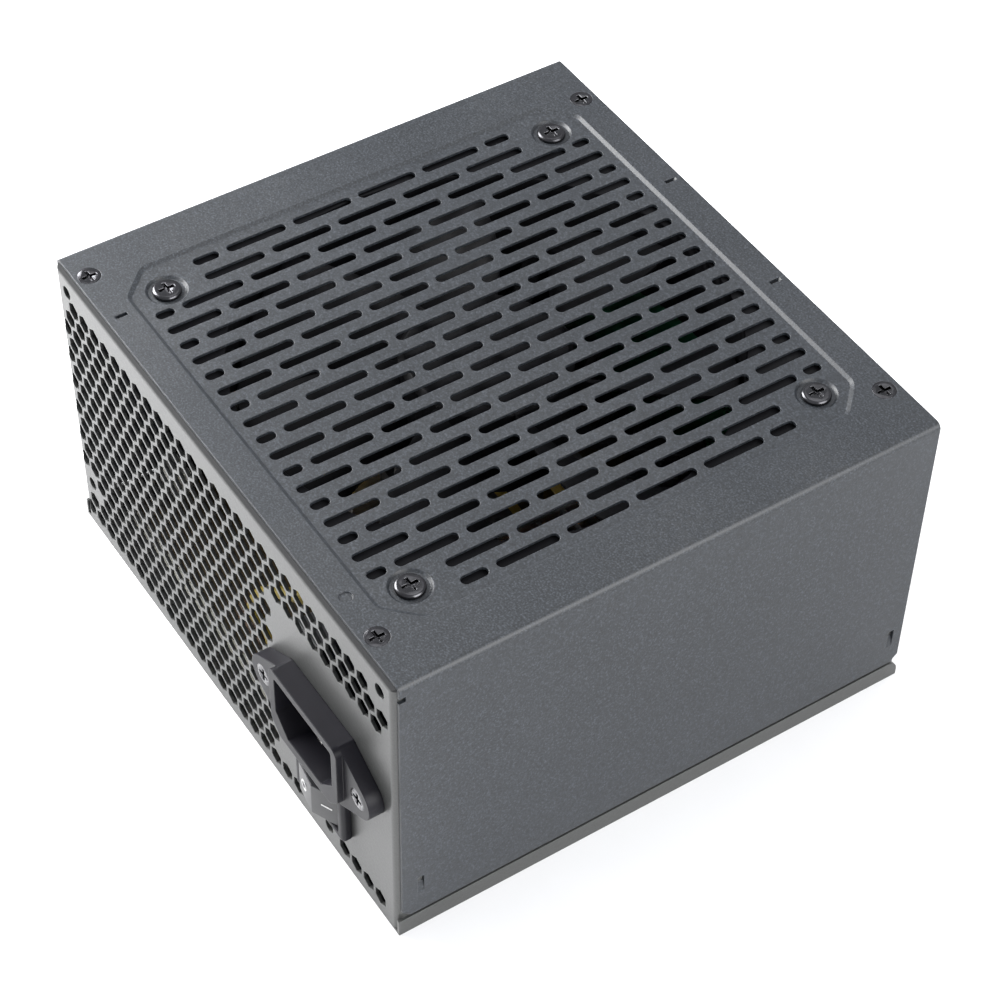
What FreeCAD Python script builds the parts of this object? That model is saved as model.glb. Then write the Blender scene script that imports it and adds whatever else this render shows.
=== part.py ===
import FreeCAD, Part
import Sketcher
import math
import os

# Power supply unit in the ATX format, as an assembly of separate sub-parts.
#
# Frame: millimetres. The origin is the centre of the underside of the case.
# +Z is up, +Y runs from the rear panel (mains inlet, switch, honeycomb) to the
# front wall (output sockets), and +X is to the right for someone who looks at
# the rear panel. The fan blows down from the slotted top into the case.

doc = FreeCAD.newDocument("power_supply_unit")
sheet = doc.addObject("Spreadsheet::Sheet", "sizes")

# --------------------------------------------------------------------------
# Driving sizes: one row of the sheet each, plain numbers in millimetres,
# degrees or counts.
# --------------------------------------------------------------------------

DRIVING_SIZES = {
    # case
    "case_width": 150.0, "case_depth": 140.0, "case_height": 86.0,
    "sheet_thick": 0.8, "bend_radius": 1.6, "pan_flange": 7.5,
    "cover_setback": 1.0, "cover_front_gap": 0.6,
    "strip_height": 5.0, "seam_gap": 1.0, "cover_corner_cut": 2.0,
    # embossed fan field of the cover
    "emboss_width": 122.0, "emboss_depth": 121.6, "emboss_drop": 0.6,
    "emboss_corner": 7.0, "emboss_slope": 0.9,
    "fan_dimple_radius": 4.9, "fan_dimple_drop": 0.6,
    # slots of the cover
    "slot_pitch_x": 5.72, "slot_pitch_y": 17.7, "slot_width": 2.65,
    "slot_length": 15.5, "slot_field_reach": 58.8, "slot_edge_reach": 43.1,
    "slot_rows_each_side": 10, "slot_rows_full": 8,
    # small pressings of the cover
    "lance_length": 3.2, "lance_width": 1.1, "lance_bite": 1.0,
    "side_lance_height": 6.0, "side_lance_width": 1.6, "side_lance_base": 12.3,
    "side_lance_rear": 5.8, "side_lance_front": 4.0,
    "lance_left": 24.6, "lance_middle": 53.1, "lance_right": 94.4, "lance_front_shift": 1.0,
    "dot_radius": 1.5, "dot_height": 0.25, "dot_left": 123.5,
    # cover screws
    "cover_screw_head": 5.6, "cover_screw_sink": 1.4, "cover_screw_shank": 3.0,
    "cover_screw_length": 5.0, "cover_screw_inset": 4.5,
    "rear_screw_left": 65.4, "rear_screw_right": 60.9,
    "front_screw_left": 58.8, "front_screw_right": 60.0,
    "screw_clear": 0.05,
    # honeycomb of the rear panel
    "comb_flats": 4.25, "comb_pitch": 5.14, "comb_row": 4.42,
    "comb_top": 9.8, "comb_left": 8.6, "comb_rows": 17,
    "comb_block_right": 96.5, "comb_last_gap_left": 112.5, "comb_last_gap_right": 124.5,
    "comb_edge_left": 2.6, "comb_edge_right": 145.0, "comb_hole_margin": 0.5,
    "comb_first_slack": 0.1,
    # threaded holes that fix the unit in a computer case
    "fix_hole": 3.5, "fix_inset": 6.0, "fix_low_drop": 70.0,
    "fix_switch_inset": 30.0, "fix_switch_drop": 80.0,
    # mains inlet
    "inlet_x": 45.0, "inlet_z": 41.8, "inlet_half_flat": 12.8, "inlet_half_height": 10.2,
    "inlet_ear_reach": 20.0, "inlet_ear_radius": 5.0, "inlet_flange": 3.8,
    "inlet_collar": 5.4, "inlet_collar_width": 28.6, "inlet_collar_low": 10.8,
    "inlet_collar_cut": 3.6, "inlet_corner": 2.0,
    "inlet_body_width": 27.0, "inlet_body_height": 19.6, "inlet_body_depth": 16.0,
    "inlet_mouth_width": 24.2, "inlet_mouth_height": 16.2, "inlet_mouth_cut": 5.0,
    "inlet_mouth_depth": 15.5, "cutout_clear": 0.2,
    "inlet_pin_width": 2.0, "inlet_pin_height": 4.0, "inlet_pin_recess": 4.0,
    "inlet_pin_spread": 7.0, "inlet_pin_live": 2.0, "inlet_pin_earth": 2.0,
    "inlet_tail": 8.0, "inlet_tail_thick": 0.8,
    "inlet_screw_shank": 3.0, "inlet_screw_head": 5.6, "inlet_screw_sink": 1.6,
    "inlet_screw_length": 9.0, "inlet_nut_flats": 5.5, "inlet_nut_thick": 2.4,
    # rocker switch
    "switch_x": 45.0, "switch_z": 20.7, "bezel_width": 21.0, "bezel_height": 15.0,
    "bezel_thick": 2.4, "bezel_corner": 1.0, "switch_body_width": 19.0,
    "switch_body_height": 12.8, "switch_body_depth": 13.0, "rocker_mouth_width": 16.6,
    "rocker_mouth_height": 10.6, "rocker_mouth_depth": 9.2, "rocker_side_gap": 0.25,
    "rocker_reach": 8.15, "rocker_ridge": 6.25, "rocker_slope": 17.0, "rocker_tilt": 8.0,
    "rocker_skirt": 2.4, "pivot_inset": 1.5, "pivot_radius": 1.0, "pivot_length": 0.9,
    "pivot_clear": 0.05, "mark_thick": 0.12, "mark_radius": 1.45, "mark_stroke": 0.36,
    "mark_reach": 4.0, "switch_tail": 7.0, "switch_tail_width": 4.8,
    "switch_tail_thick": 0.8, "switch_tail_spread": 5.0,
    # fan
    "fan_size": 120.0, "fan_thick": 25.0, "fan_corner": 5.0, "fan_bore": 116.6,
    "ring_inset": 0.2, "fan_flange": 4.0, "fan_hole_pitch": 105.0, "fan_hole": 4.3,
    "fan_screw_head": 6.9, "fan_screw_rise": 1.2, "fan_screw_shank": 4.0,
    "fan_screw_length": 9.0, "motor_base_radius": 22.0, "motor_base_thick": 2.4,
    "strut_width": 5.0, "strut_thick": 2.4,
    "bearing_tube_radius": 4.2, "bearing_radius": 3.0, "bearing_length": 13.0,
    "bearing_floor": 1.0, "shaft_radius": 1.5, "shaft_clear": 0.02,
    "hub_radius": 20.0, "hub_wall": 1.6, "hub_height": 20.2, "hub_gap": 0.8,
    "hub_edge": 1.5, "yoke_wall": 0.8, "magnet_wall": 2.0, "magnet_height": 12.0,
    "stator_radius": 13.6, "stator_height": 8.0, "stator_core_radius": 7.0,
    "stator_pole_width": 3.6, "stator_poles": 4, "coil_wrap": 1.6,
    "fan_board_radius": 14.0, "fan_board_thick": 1.0,
    "blade_count": 7, "blade_tip_gap": 1.3, "blade_thick": 1.7, "blade_rise": 17.0,
    "blade_root_turn": 30.0, "blade_tip_turn": 38.0, "blade_sweep": 14.0, "blade_camber": 2.2,
    # circuit board and what holds it
    "board_width": 138.0, "board_rear": 8.0, "board_front": 16.0, "board_thick": 1.6,
    "standoff_height": 6.2, "standoff_radius": 3.0, "board_hole_inset": 6.0,
    "board_hole": 3.4, "board_screw_head": 5.6, "board_screw_rise": 2.0,
    "board_screw_length": 7.0, "liner_thick": 0.3,
    # heatsinks and what is bolted to them
    "sink_thick": 3.0, "sink_height": 42.0, "sink_length": 62.0, "sink_y": 8.0,
    "sink_fin": 9.0, "sink_fin_height": 14.0, "sink_fin_thick": 1.2, "sink_fin_count": 10,
    "primary_sink_x": 24.0, "secondary_sink_x": -24.0,
    "device_width": 10.2, "device_thick": 4.4, "device_height": 15.4, "device_lift": 9.0,
    "device_pitch": 18.0, "device_screw": 3.0, "device_screw_head": 5.4, "device_screw_rise": 1.8,
    "bridge_width": 25.0, "bridge_thick": 4.2, "bridge_height": 16.0, "bridge_lift": 3.0,
    "bridge_x": 64.0, "bridge_y": -12.0, "bridge_leg_pitch": 7.0,
    "device_screw_drop": 2.6, "device_leg_pitch": 2.54, "device_leg_wide": 0.9, "device_leg_thick": 0.6,
    # wound parts
    "trafo_width": 32.0, "trafo_core_depth": 14.0, "trafo_height": 33.0, "trafo_leg": 10.0,
    "trafo_side": 5.0, "trafo_yoke": 6.0, "trafo_y": -8.0,
    "standby_width": 18.0, "standby_core_depth": 7.0, "standby_height": 18.0,
    "standby_leg": 5.0, "standby_side": 2.6, "standby_yoke": 3.2, "standby_y": 28.0,
    "winding_gap": 0.2, "choke_wrap": 1.6,
    "filter_choke_outer": 11.0, "filter_choke_inner": 5.0, "filter_choke_wide": 10.0,
    "filter_choke_x": 44.0, "filter_choke_y": -34.0,
    "boost_choke_outer": 13.0, "boost_choke_inner": 6.5, "boost_choke_wide": 13.0,
    "boost_choke_x": 44.0, "boost_choke_y": -11.0,
    "output_choke_outer": 14.0, "output_choke_inner": 7.0, "output_choke_wide": 12.0,
    "output_choke_x": -45.0, "output_choke_y": -14.0,
    # capacitors and small parts
    "bulk_radius": 15.0, "bulk_height": 44.0, "bulk_x": 51.0, "bulk_y": 30.0,
    "can_crimp": 3.0, "can_groove": 0.8, "can_edge": 1.0,
    "output_can_radius": 5.0, "output_can_height": 20.0, "output_can_pitch": 12.5,
    "output_can_x": -60.0, "output_can_y": 12.0, "output_can_rows": 3,
    "film_width": 9.0, "film_length": 26.0, "film_height": 18.0, "film_edge": 1.2,
    "film_across_x": 16.0, "film_across_y": -50.0, "film_along_x": 62.5, "film_along_y": -38.0,
    "disc_radius": 5.5, "disc_thick": 4.0, "disc_lift": 2.0, "disc_leg": 0.7,
    "disc_leg_spread": 2.5, "disc_leg_reach": 2.0, "disc_rear": 2.0,
    "fuse_radius": 2.6, "fuse_length": 20.0, "fuse_cap": 5.0, "fuse_lift": 0.6,
    "fuse_x": 46.0, "fuse_y": -49.0, "fuse_glass_step": 0.3, "clip_wall": 0.6,
    "card_width": 36.0, "card_height": 26.0, "card_thick": 1.2, "chip_thick": 1.4,
    "card_x": -66.0, "card_y": -20.0,
    # output board and sockets
    "output_board_width": 118.0, "output_board_base": 11.0, "output_board_fan_gap": 1.0,
    "output_board_gap": 9.0, "socket_cell": 4.2, "socket_wall": 0.5, "socket_rim": 0.9,
    "socket_proud": 1.0, "socket_floor": 2.0, "socket_pin": 1.1, "socket_pin_recess": 3.0,
    "socket_row_low": 18.0, "socket_row_mid": 33.0, "socket_row_high": 48.0,
    "socket_clear": 0.25,
    # leads inside the case
    "mains_lead_radius": 1.3, "earth_lead_radius": 1.5, "fan_lead_radius": 0.8,
    "output_lead_radius": 1.4, "output_lead_pitch": 12.0, "output_lead_first": -44.0,
    "output_lead_board": 49.0, "output_lead_shift": 3.0, "output_lead_count": 8, "lead_fan_gap": 1.0,
    "fan_plug_width": 7.5, "fan_plug_depth": 5.0, "fan_plug_height": 7.0,
    "fan_plug_x": -64.0, "fan_plug_rear": 20.0,
}


class Size:
    """A length known both as a number and as the sheet expression behind it."""

    def __init__(self, text, value):
        self.text = text
        self.value = float(value)

    def joined(self, sign, other, value, swapped=False):
        mate = other.text if isinstance(other, Size) else repr(float(other))
        left, right = (mate, self.text) if swapped else (self.text, mate)
        return Size("(%s %s %s)" % (left, sign, right), value)

    def __add__(self, other):
        return self.joined("+", other, self.value + float(other))

    def __radd__(self, other):
        return self.joined("+", other, float(other) + self.value, swapped=True)

    def __sub__(self, other):
        return self.joined("-", other, self.value - float(other))

    def __rsub__(self, other):
        return self.joined("-", other, float(other) - self.value, swapped=True)

    def __mul__(self, other):
        return self.joined("*", other, self.value * float(other))

    def __rmul__(self, other):
        return self.joined("*", other, float(other) * self.value, swapped=True)

    def __truediv__(self, other):
        return self.joined("/", other, self.value / float(other))

    def __neg__(self):
        return self * -1.0

    def __float__(self):
        return self.value


class SheetReader:
    """Gives every alias of the sheet as an attribute that is a Size."""

    def __getattr__(self, alias):
        return Size("sizes." + alias, DRIVING_SIZES[alias])


for row, (alias, number) in enumerate(DRIVING_SIZES.items(), start=1):
    sheet.set("A%d" % row, alias)
    sheet.set("B%d" % row, repr(number))
    sheet.setAlias("B%d" % row, alias)
doc.recompute()

S = SheetReader()
pieces = []


# --------------------------------------------------------------------------
# Ways of making document objects whose sizes are bound to the sheet
# --------------------------------------------------------------------------

def bind(target, **links):
    """Set properties of an object, each bound to the sheet where it is a Size."""
    for prop, amount in links.items():
        if isinstance(amount, Size):
            target.setExpression(prop, amount.text)
        else:
            setattr(target, prop, amount)


def place(target, at, axis=None, turn=0.0):
    """Place an object at a point whose coordinates may be Sizes."""
    rotation = FreeCAD.Rotation(FreeCAD.Vector(*(axis or (0, 0, 1))), turn)
    target.Placement = FreeCAD.Placement(FreeCAD.Vector(*[float(c) for c in at]), rotation)
    for letter, amount in zip("xyz", at):
        if isinstance(amount, Size):
            target.setExpression("Placement.Base." + letter, amount.text)
    return target


def block(name, extent, at):
    """Box from its three sizes and the middle of its underside."""
    box = doc.addObject("Part::Box", name)
    bind(box, Length=extent[0], Width=extent[1], Height=extent[2])
    place(box, (at[0] - extent[0] / 2.0, at[1] - extent[1] / 2.0, at[2]))
    return box


AXIS_TURN = {"x": ((0, 1, 0), 90.0), "y": ((1, 0, 0), -90.0), "z": ((0, 0, 1), 0.0)}


def rod(name, radius, length, at, axis="z"):
    """Cylinder from the middle of its first end, along +x, +y or +z."""
    cylinder = doc.addObject("Part::Cylinder", name)
    bind(cylinder, Radius=radius, Height=length)
    return place(cylinder, at, *AXIS_TURN[axis])


def cone(name, first_radius, last_radius, length, at, axis="z"):
    """Cone from the middle of its first end, along +x, +y or +z."""
    taper = doc.addObject("Part::Cone", name)
    bind(taper, Radius1=first_radius, Radius2=last_radius, Height=length)
    return place(taper, at, *AXIS_TURN[axis])


def fuse(name, members):
    joined = doc.addObject("Part::MultiFuse", name)
    joined.Shapes = members
    return joined


def group(name, members):
    bundle = doc.addObject("Part::Compound", name)
    bundle.Links = members
    return bundle


def cut(name, base, tools):
    """Base minus a list of tools."""
    result = doc.addObject("Part::Cut", name)
    result.Base = base
    result.Tool = tools[0] if len(tools) == 1 else fuse(name + "_tools", tools)
    return result


def common(name, base, tool):
    result = doc.addObject("Part::Common", name)
    result.Base = base
    result.Tool = tool
    return result


def round_edges(name, base, radius, wanted):
    """Fillet the edges of base that the function wanted picks out."""
    doc.recompute()
    fillet = doc.addObject("Part::Fillet", name)
    fillet.Base = base
    edges = enumerate(base.Shape.Edges, start=1)
    fillet.Edges = [(index, float(radius), float(radius)) for index, edge in edges if wanted(edge)]
    return fillet


def formed(name, shape):
    """Hold a shape that no primitive or sketch describes."""
    feature = doc.addObject("Part::Feature", name)
    feature.Shape = shape
    return feature


def plane_of(body, role):
    return [p for p in body.Origin.OriginFeatures if p.Role == role][0]


def bound_profile(body, name, role, corners):
    """Closed polygon sketch; both coordinates of each corner are bound to the sheet."""
    sketch = body.newObject("Sketcher::SketchObject", name)
    sketch.AttachmentSupport = [(plane_of(body, role), "")]
    sketch.MapMode = "FlatFace"
    points = [FreeCAD.Vector(float(a), float(b), 0) for a, b in corners]
    for index, start in enumerate(points):
        sketch.addGeometry(Part.LineSegment(start, points[(index + 1) % len(points)]), False)
    for index in range(len(points)):
        following = (index + 1) % len(points)
        sketch.addConstraint(Sketcher.Constraint("Coincident", index, 2, following, 1))
    for index, corner in enumerate(corners):
        for kind, amount in zip(("DistanceX", "DistanceY"), corner):
            measure = Sketcher.Constraint(kind, -1, 1, index, 1, float(amount))
            number = sketch.addConstraint(measure)
            if isinstance(amount, Size):
                sketch.setExpression("Constraints[%d]" % number, amount.text)
    return sketch


def revolved(name, corners, at):
    """Body turned about its own Z axis; corners are (radius, height) pairs."""
    body = doc.addObject("PartDesign::Body", name)
    sketch = bound_profile(body, name + "_profile", "XZ_Plane", corners)
    turn = body.newObject("PartDesign::Revolution", name + "_turn")
    turn.Profile = sketch
    turn.ReferenceAxis = (plane_of(body, "Z_Axis"), [""])
    turn.Angle = 360.0
    body.Tip = turn
    return place(body, at)


def padded(name, role, corners, length, at):
    """Body that is one bound polygon, padded along the normal of its plane."""
    body = doc.addObject("PartDesign::Body", name)
    sketch = bound_profile(body, name + "_profile", role, corners)
    pad = body.newObject("PartDesign::Pad", name + "_pad")
    pad.Profile = sketch
    bind(pad, Length=length)
    body.Tip = pad
    return place(body, at)


def piece(label, target):
    """Name a finished sub-part; the label is also the name of its file."""
    target.Label = label
    pieces.append(target)
    return target


def rounded_polygon(corners, radius):
    """Closed wire in the XY plane through the corners, each rounded by an arc."""
    points = [FreeCAD.Vector(a, b, 0) for a, b in corners]
    edges = []
    count = len(points)
    ends = []
    for index, point in enumerate(points):
        before = (points[index - 1] - point).normalize()
        after = (points[(index + 1) % count] - point).normalize()
        half = before.getAngle(after) / 2.0
        reach = radius / math.tan(half)
        middle = (before + after).normalize() * (radius / math.sin(half) - radius)
        ends.append((point + before * reach, point + middle, point + after * reach))
    for index, (start, middle, stop) in enumerate(ends):
        edges.append(Part.Arc(start, middle, stop).toShape())
        following = ends[(index + 1) % count][0]
        if (following - stop).Length > 1e-6:
            edges.append(Part.LineSegment(stop, following).toShape())
    return Part.Wire(Part.__sortEdges__(edges))


def upright(wire, x, y, z, depth):
    """Solid from a wire of (x, z) points, set at y and running depth along +Y."""
    face = Part.Face(wire)
    face.rotate(FreeCAD.Vector(0, 0, 0), FreeCAD.Vector(1, 0, 0), 90)
    face.translate(FreeCAD.Vector(x, y, z))
    return face.extrude(FreeCAD.Vector(0, depth, 0))


def tube_path(points, radius):
    """Round wire or lead along straight runs joined by tangent arcs."""
    spots = [FreeCAD.Vector(*[float(c) for c in point]) for point in points]
    edges = []
    start = spots[0]
    for before, spot, after in zip(spots, spots[1:], spots[2:]):
        back = (before - spot)
        ahead = (after - spot)
        turn = math.pi - back.getAngle(ahead)
        bend = 0.45 * min(back.Length, ahead.Length) / math.tan(turn / 2.0)
        reach = bend * math.tan(turn / 2.0)
        first = spot + back.normalize() * reach
        last = spot + ahead.normalize() * reach
        inward = (back + ahead).normalize() * (bend / math.cos(turn / 2.0) - bend)
        edges.append(Part.LineSegment(start, first).toShape())
        edges.append(Part.Arc(first, spot + inward, last).toShape())
        start = last
    edges.append(Part.LineSegment(start, spots[-1]).toShape())
    path = Part.Wire(edges)
    heading = path.Edges[0].tangentAt(path.Edges[0].FirstParameter)
    ring = Part.Wire(Part.Circle(spots[0], heading, float(radius)).toShape())
    return path.makePipeShell([ring], True, False)


def cross_slot(name, span, depth, at):
    """Two crossed slots that sink into a screw head from its top."""
    width = span / 4.5
    return [block(name + "_a", (span, width, depth), at), block(name + "_b", (width, span, depth), at)]


# --------------------------------------------------------------------------
# Shared reference sizes
# --------------------------------------------------------------------------

half_width = S.case_width / 2
half_depth = S.case_depth / 2
rear_face = -half_depth
rear_inside = rear_face + S.sheet_thick
front_inside = half_depth - S.sheet_thick
pan_half = half_width - S.sheet_thick
cover_inside = S.case_height - S.sheet_thick
field_top = S.case_height - S.emboss_drop
field_under = field_top - S.sheet_thick
fan_top = field_under - S.fan_dimple_drop
fan_base = fan_top - S.fan_thick
hole_half = S.fan_hole_pitch / 2
fan_corners = [(sx * hole_half, sy * hole_half) for sx in (-1, 1) for sy in (-1, 1)]
through = 2.0

fix_holes = [
    (-half_width + S.fix_inset, S.case_height - S.fix_inset),
    (half_width - S.fix_inset, S.case_height - S.fix_inset),
    (-half_width + S.fix_inset, S.case_height - S.fix_low_drop),
    (half_width - S.fix_switch_inset, S.case_height - S.fix_switch_drop),
]
cover_screw_spots = [
    (-S.rear_screw_left, rear_face + S.cover_screw_inset),
    (S.rear_screw_right, rear_face + S.cover_screw_inset),
    (-S.front_screw_left, half_depth - S.cover_screw_inset),
    (S.front_screw_right, half_depth - S.cover_screw_inset),
]
board_y = (S.board_rear - S.board_front) / 2
board_depth = S.case_depth - S.board_rear - S.board_front
board_under = S.sheet_thick + S.standoff_height
board_top = board_under + S.board_thick
board_spots = [
    (sx * (S.board_width / 2 - S.board_hole_inset),
     board_y + sy * (board_depth / 2 - S.board_hole_inset))
    for sx in (-1, 1) for sy in (-1, 1)
]


# --------------------------------------------------------------------------
# Case: base tray with both end walls, and the top cover
# --------------------------------------------------------------------------

def comb_centres():
    """Centres (x, z) of the honeycomb holes of the rear panel."""
    width, top = float(S.case_width), float(S.case_height)
    pitch, last = float(S.comb_pitch), int(S.comb_rows.value) - 1
    keep_off = (float(S.fix_hole) + float(S.comb_flats)) / 2 + float(S.comb_hole_margin)
    slack = float(S.comb_first_slack)
    centres = []
    for row in range(last + 1):
        z = top - float(S.comb_top) - row * float(S.comb_row)
        first = float(S.comb_left) - pitch - (row % 2) * pitch / 2
        for step in range(int(width / pitch) + 2):
            x = first + step * pitch
            inside = float(S.comb_edge_left) <= x <= float(S.comb_edge_right)
            if row == 0:
                inside = float(S.comb_left) - slack <= x <= width - float(S.comb_left)
            if 2 < row < last:
                inside = inside and x <= float(S.comb_block_right)
            if row == last:
                gap = float(S.comb_last_gap_left) < x < float(S.comb_last_gap_right)
                inside = inside and not gap
            spot = (x - width / 2, z)
            clear = all(math.dist(spot, (float(a), float(b))) > keep_off for a, b in fix_holes)
            if inside and clear:
                centres.append(spot)
    return centres


def comb_cutters():
    across = float(S.comb_flats) / math.sqrt(3)
    corners = [
        (across * math.sin(math.radians(60 * k)), across * math.cos(math.radians(60 * k)))
        for k in range(6)
    ]
    points = [FreeCAD.Vector(a, b, 0) for a, b in corners]
    wire = Part.makePolygon(points + points[:1])
    depth = float(S.sheet_thick) + 2 * through
    one = upright(wire, 0, float(rear_face) - through, 0, depth)
    cutters = []
    for x, z in comb_centres():
        cutter = one.copy()
        cutter.translate(FreeCAD.Vector(x, 0, z))
        cutters.append(cutter)
    return formed("honeycomb", Part.makeCompound(cutters))


def end_pan(name, side):
    """End wall (side -1 rear, +1 front) with flanges bent inwards on three edges."""
    middle = side * (half_depth - S.pan_flange / 2)
    outer = block(name + "_outer", (pan_half * 2, S.pan_flange, cover_inside), (0.0, middle, 0.0))
    face = side * float(half_depth)

    def on_bend(edge):
        ends = edge.Vertexes
        return all(abs(v.Y - face) < 1e-6 for v in ends) and any(v.Z > 1.0 for v in ends)

    rounded = round_edges(name + "_bends", outer, S.bend_radius, on_bend)
    inside = ((pan_half - S.sheet_thick) * 2, S.pan_flange, cover_inside - S.sheet_thick)
    hollow = block(name + "_hollow", inside, (0.0, middle - side * S.sheet_thick, 0.0))
    return cut(name, rounded, [hollow])


def side_strip(name, side):
    """Low strip turned up along one side of the base, rounded at its front."""
    middle = side * (half_width - S.sheet_thick / 2)
    strip = block(name + "_blank", (S.sheet_thick, S.case_depth, S.strip_height), (middle, 0.0, 0.0))
    high, far = float(S.strip_height), float(half_depth)

    def front_top(edge):
        return all(abs(v.Y - far) < 1e-6 and abs(v.Z - high) < 1e-6 for v in edge.Vertexes)

    return round_edges(name, strip, S.strip_height * 0.6, front_top)


def flat_screw(name, head, sink, shank, length, at):
    """Countersunk screw pointing down, with its head flush at the given point."""
    parts = [
        cone(name + "_head", shank / 2, head / 2, sink, (at[0], at[1], at[2] - sink)),
        rod(name + "_shank", shank / 2, length - sink, (at[0], at[1], at[2] - length)),
    ]
    return parts


def cover_screw_seats(name):
    """Countersinks and holes that the cover screws pass through."""
    seats = []
    for index, (x, y) in enumerate(cover_screw_spots):
        head, sink = S.cover_screw_head / 2, S.cover_screw_sink
        shank = S.cover_screw_shank / 2
        stem = "%s_%d" % (name, index)
        seats.append(cone(stem + "_sink", shank, head, sink, (x, y, S.case_height - sink)))
        reach = S.cover_screw_length + through
        hole = rod(stem + "_hole", shank + S.screw_clear, reach, (x, y, S.case_height - sink - reach))
        seats.append(hole)
    return seats


inlet_cut_width = S.inlet_body_width + S.cutout_clear * 2
inlet_cut_height = S.inlet_body_height + S.cutout_clear * 2
switch_cut_width = S.switch_body_width + S.cutout_clear * 2
switch_cut_height = S.switch_body_height + S.cutout_clear * 2

# Output sockets: (columns, middle x in socket cells, row height), two pin rows each.
socket_plan = {
    "motherboard_sockets": [(10, -7.5, S.socket_row_high), (8, 3.5, S.socket_row_high)],
    "processor_sockets": [(4, -9.0, S.socket_row_mid), (4, -3.0, S.socket_row_mid)],
    "graphics_sockets": [(4, 3.0, S.socket_row_mid), (4, 9.0, S.socket_row_mid)],
    "drive_sockets": [(3, -9.5, S.socket_row_low), (3, -4.75, S.socket_row_low),
                      (3, 0.0, S.socket_row_low), (3, 4.75, S.socket_row_low)],
}
socket_height = S.socket_cell * 2 + S.socket_rim * 2
output_board_front = half_depth - S.output_board_gap


def socket_width(columns):
    return S.socket_cell * columns + S.socket_rim * 2


def socket_windows():
    windows = []
    for label, row in socket_plan.items():
        for index, (columns, cells, height) in enumerate(row):
            clear = S.socket_clear * 2
            extent = (socket_width(columns) + clear, S.sheet_thick + through * 2, socket_height + clear)
            base = height - socket_height / 2 - S.socket_clear
            at = (S.socket_cell * cells, half_depth - S.sheet_thick / 2, base)
            windows.append(block("%s_window_%d" % (label, index), extent, at))
    return windows


def make_base_tray():
    floor = block("tray_floor", (S.case_width, S.case_depth, S.sheet_thick), (0.0, 0.0, 0.0))
    walls = [
        end_pan("rear_pan", -1), end_pan("front_pan", 1),
        side_strip("left_strip", -1), side_strip("right_strip", 1),
    ]
    shell = fuse("tray_shell", [floor] + walls)
    wall_cut = S.sheet_thick + through * 2
    wall_y = rear_face + S.sheet_thick / 2
    inlet_at = (S.inlet_x, wall_y, S.inlet_z - inlet_cut_height / 2)
    switch_at = (S.switch_x, wall_y, S.switch_z - switch_cut_height / 2)
    openings = [
        block("inlet_cutout", (inlet_cut_width, wall_cut, inlet_cut_height), inlet_at),
        block("switch_cutout", (switch_cut_width, wall_cut, switch_cut_height), switch_at),
    ]
    for index, (x, z) in enumerate(fix_holes):
        at = (x, rear_face - through, z)
        openings.append(rod("fix_hole_%d" % index, S.fix_hole / 2, wall_cut, at, "y"))
    for side in (-1, 1):
        at = (S.inlet_x + side * S.inlet_ear_reach, rear_face - through, S.inlet_z)
        hole = S.inlet_screw_shank / 2 + S.screw_clear
        openings.append(rod("ear_hole_%d" % side, hole, wall_cut, at, "y"))
    openings += socket_windows() + cover_screw_seats("tray_seat")
    pierced = cut("tray_pierced", shell, openings)
    return piece("base_tray", cut("base_tray", pierced, [comb_cutters()]))


def slot_cutters():
    """Grille slots: staggered rows along Y, clipped to the field of the fan."""
    cutters = []
    radius = float(S.slot_width) / 2
    pitch, half = float(S.slot_pitch_y), float(S.slot_length) / 2
    rows = int(S.slot_rows_each_side.value)
    for row in range(-rows, rows + 1):
        full = abs(row) <= int(S.slot_rows_full.value)
        reach = float(S.slot_field_reach if full else S.slot_edge_reach)
        shift = 0.0 if row % 2 else 0.5
        for step in range(-5, 5):
            middle = (step + shift) * pitch
            low, high = max(middle - half, -reach), min(middle + half, reach)
            if high - low < 1.5 * radius * 2:
                continue
            x = row * float(S.slot_pitch_x)
            cutters.append(obround(x, low, high, radius))
    return formed("grille_slots", Part.makeCompound(cutters))


def obround(x, low, high, radius):
    """Upright slot cutter with round ends, from y low to y high."""
    base = float(fan_top) - through
    corners = [(x - radius, low + radius), (x - radius, high - radius)]
    corners += [(x + radius, high - radius), (x + radius, low + radius)]
    a, b, c, d = [FreeCAD.Vector(px, py, base) for px, py in corners]
    edges = [
        Part.LineSegment(a, b).toShape(),
        Part.Arc(b, FreeCAD.Vector(x, high, base), c).toShape(),
        Part.LineSegment(c, d).toShape(),
        Part.Arc(d, FreeCAD.Vector(x, low, base), a).toShape(),
    ]
    return Part.Face(Part.Wire(edges)).extrude(FreeCAD.Vector(0, 0, 4 * through + 2))


def emboss_outline(grow, z):
    """Square outline of the fan field with its corners cut off and rounded."""
    a, b = float(S.emboss_width) / 2 + grow, float(S.emboss_depth) / 2 + grow
    c = float(S.emboss_corner) + 0.4 * grow
    corners = [(a, b - c), (a - c, b), (-a + c, b), (-a, b - c)]
    corners += [(-a, -b + c), (-a + c, -b), (a - c, -b), (a, -b + c)]
    wire = rounded_polygon(corners, 3.0 + grow)
    wire.translate(FreeCAD.Vector(0, 0, z))
    return wire


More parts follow.
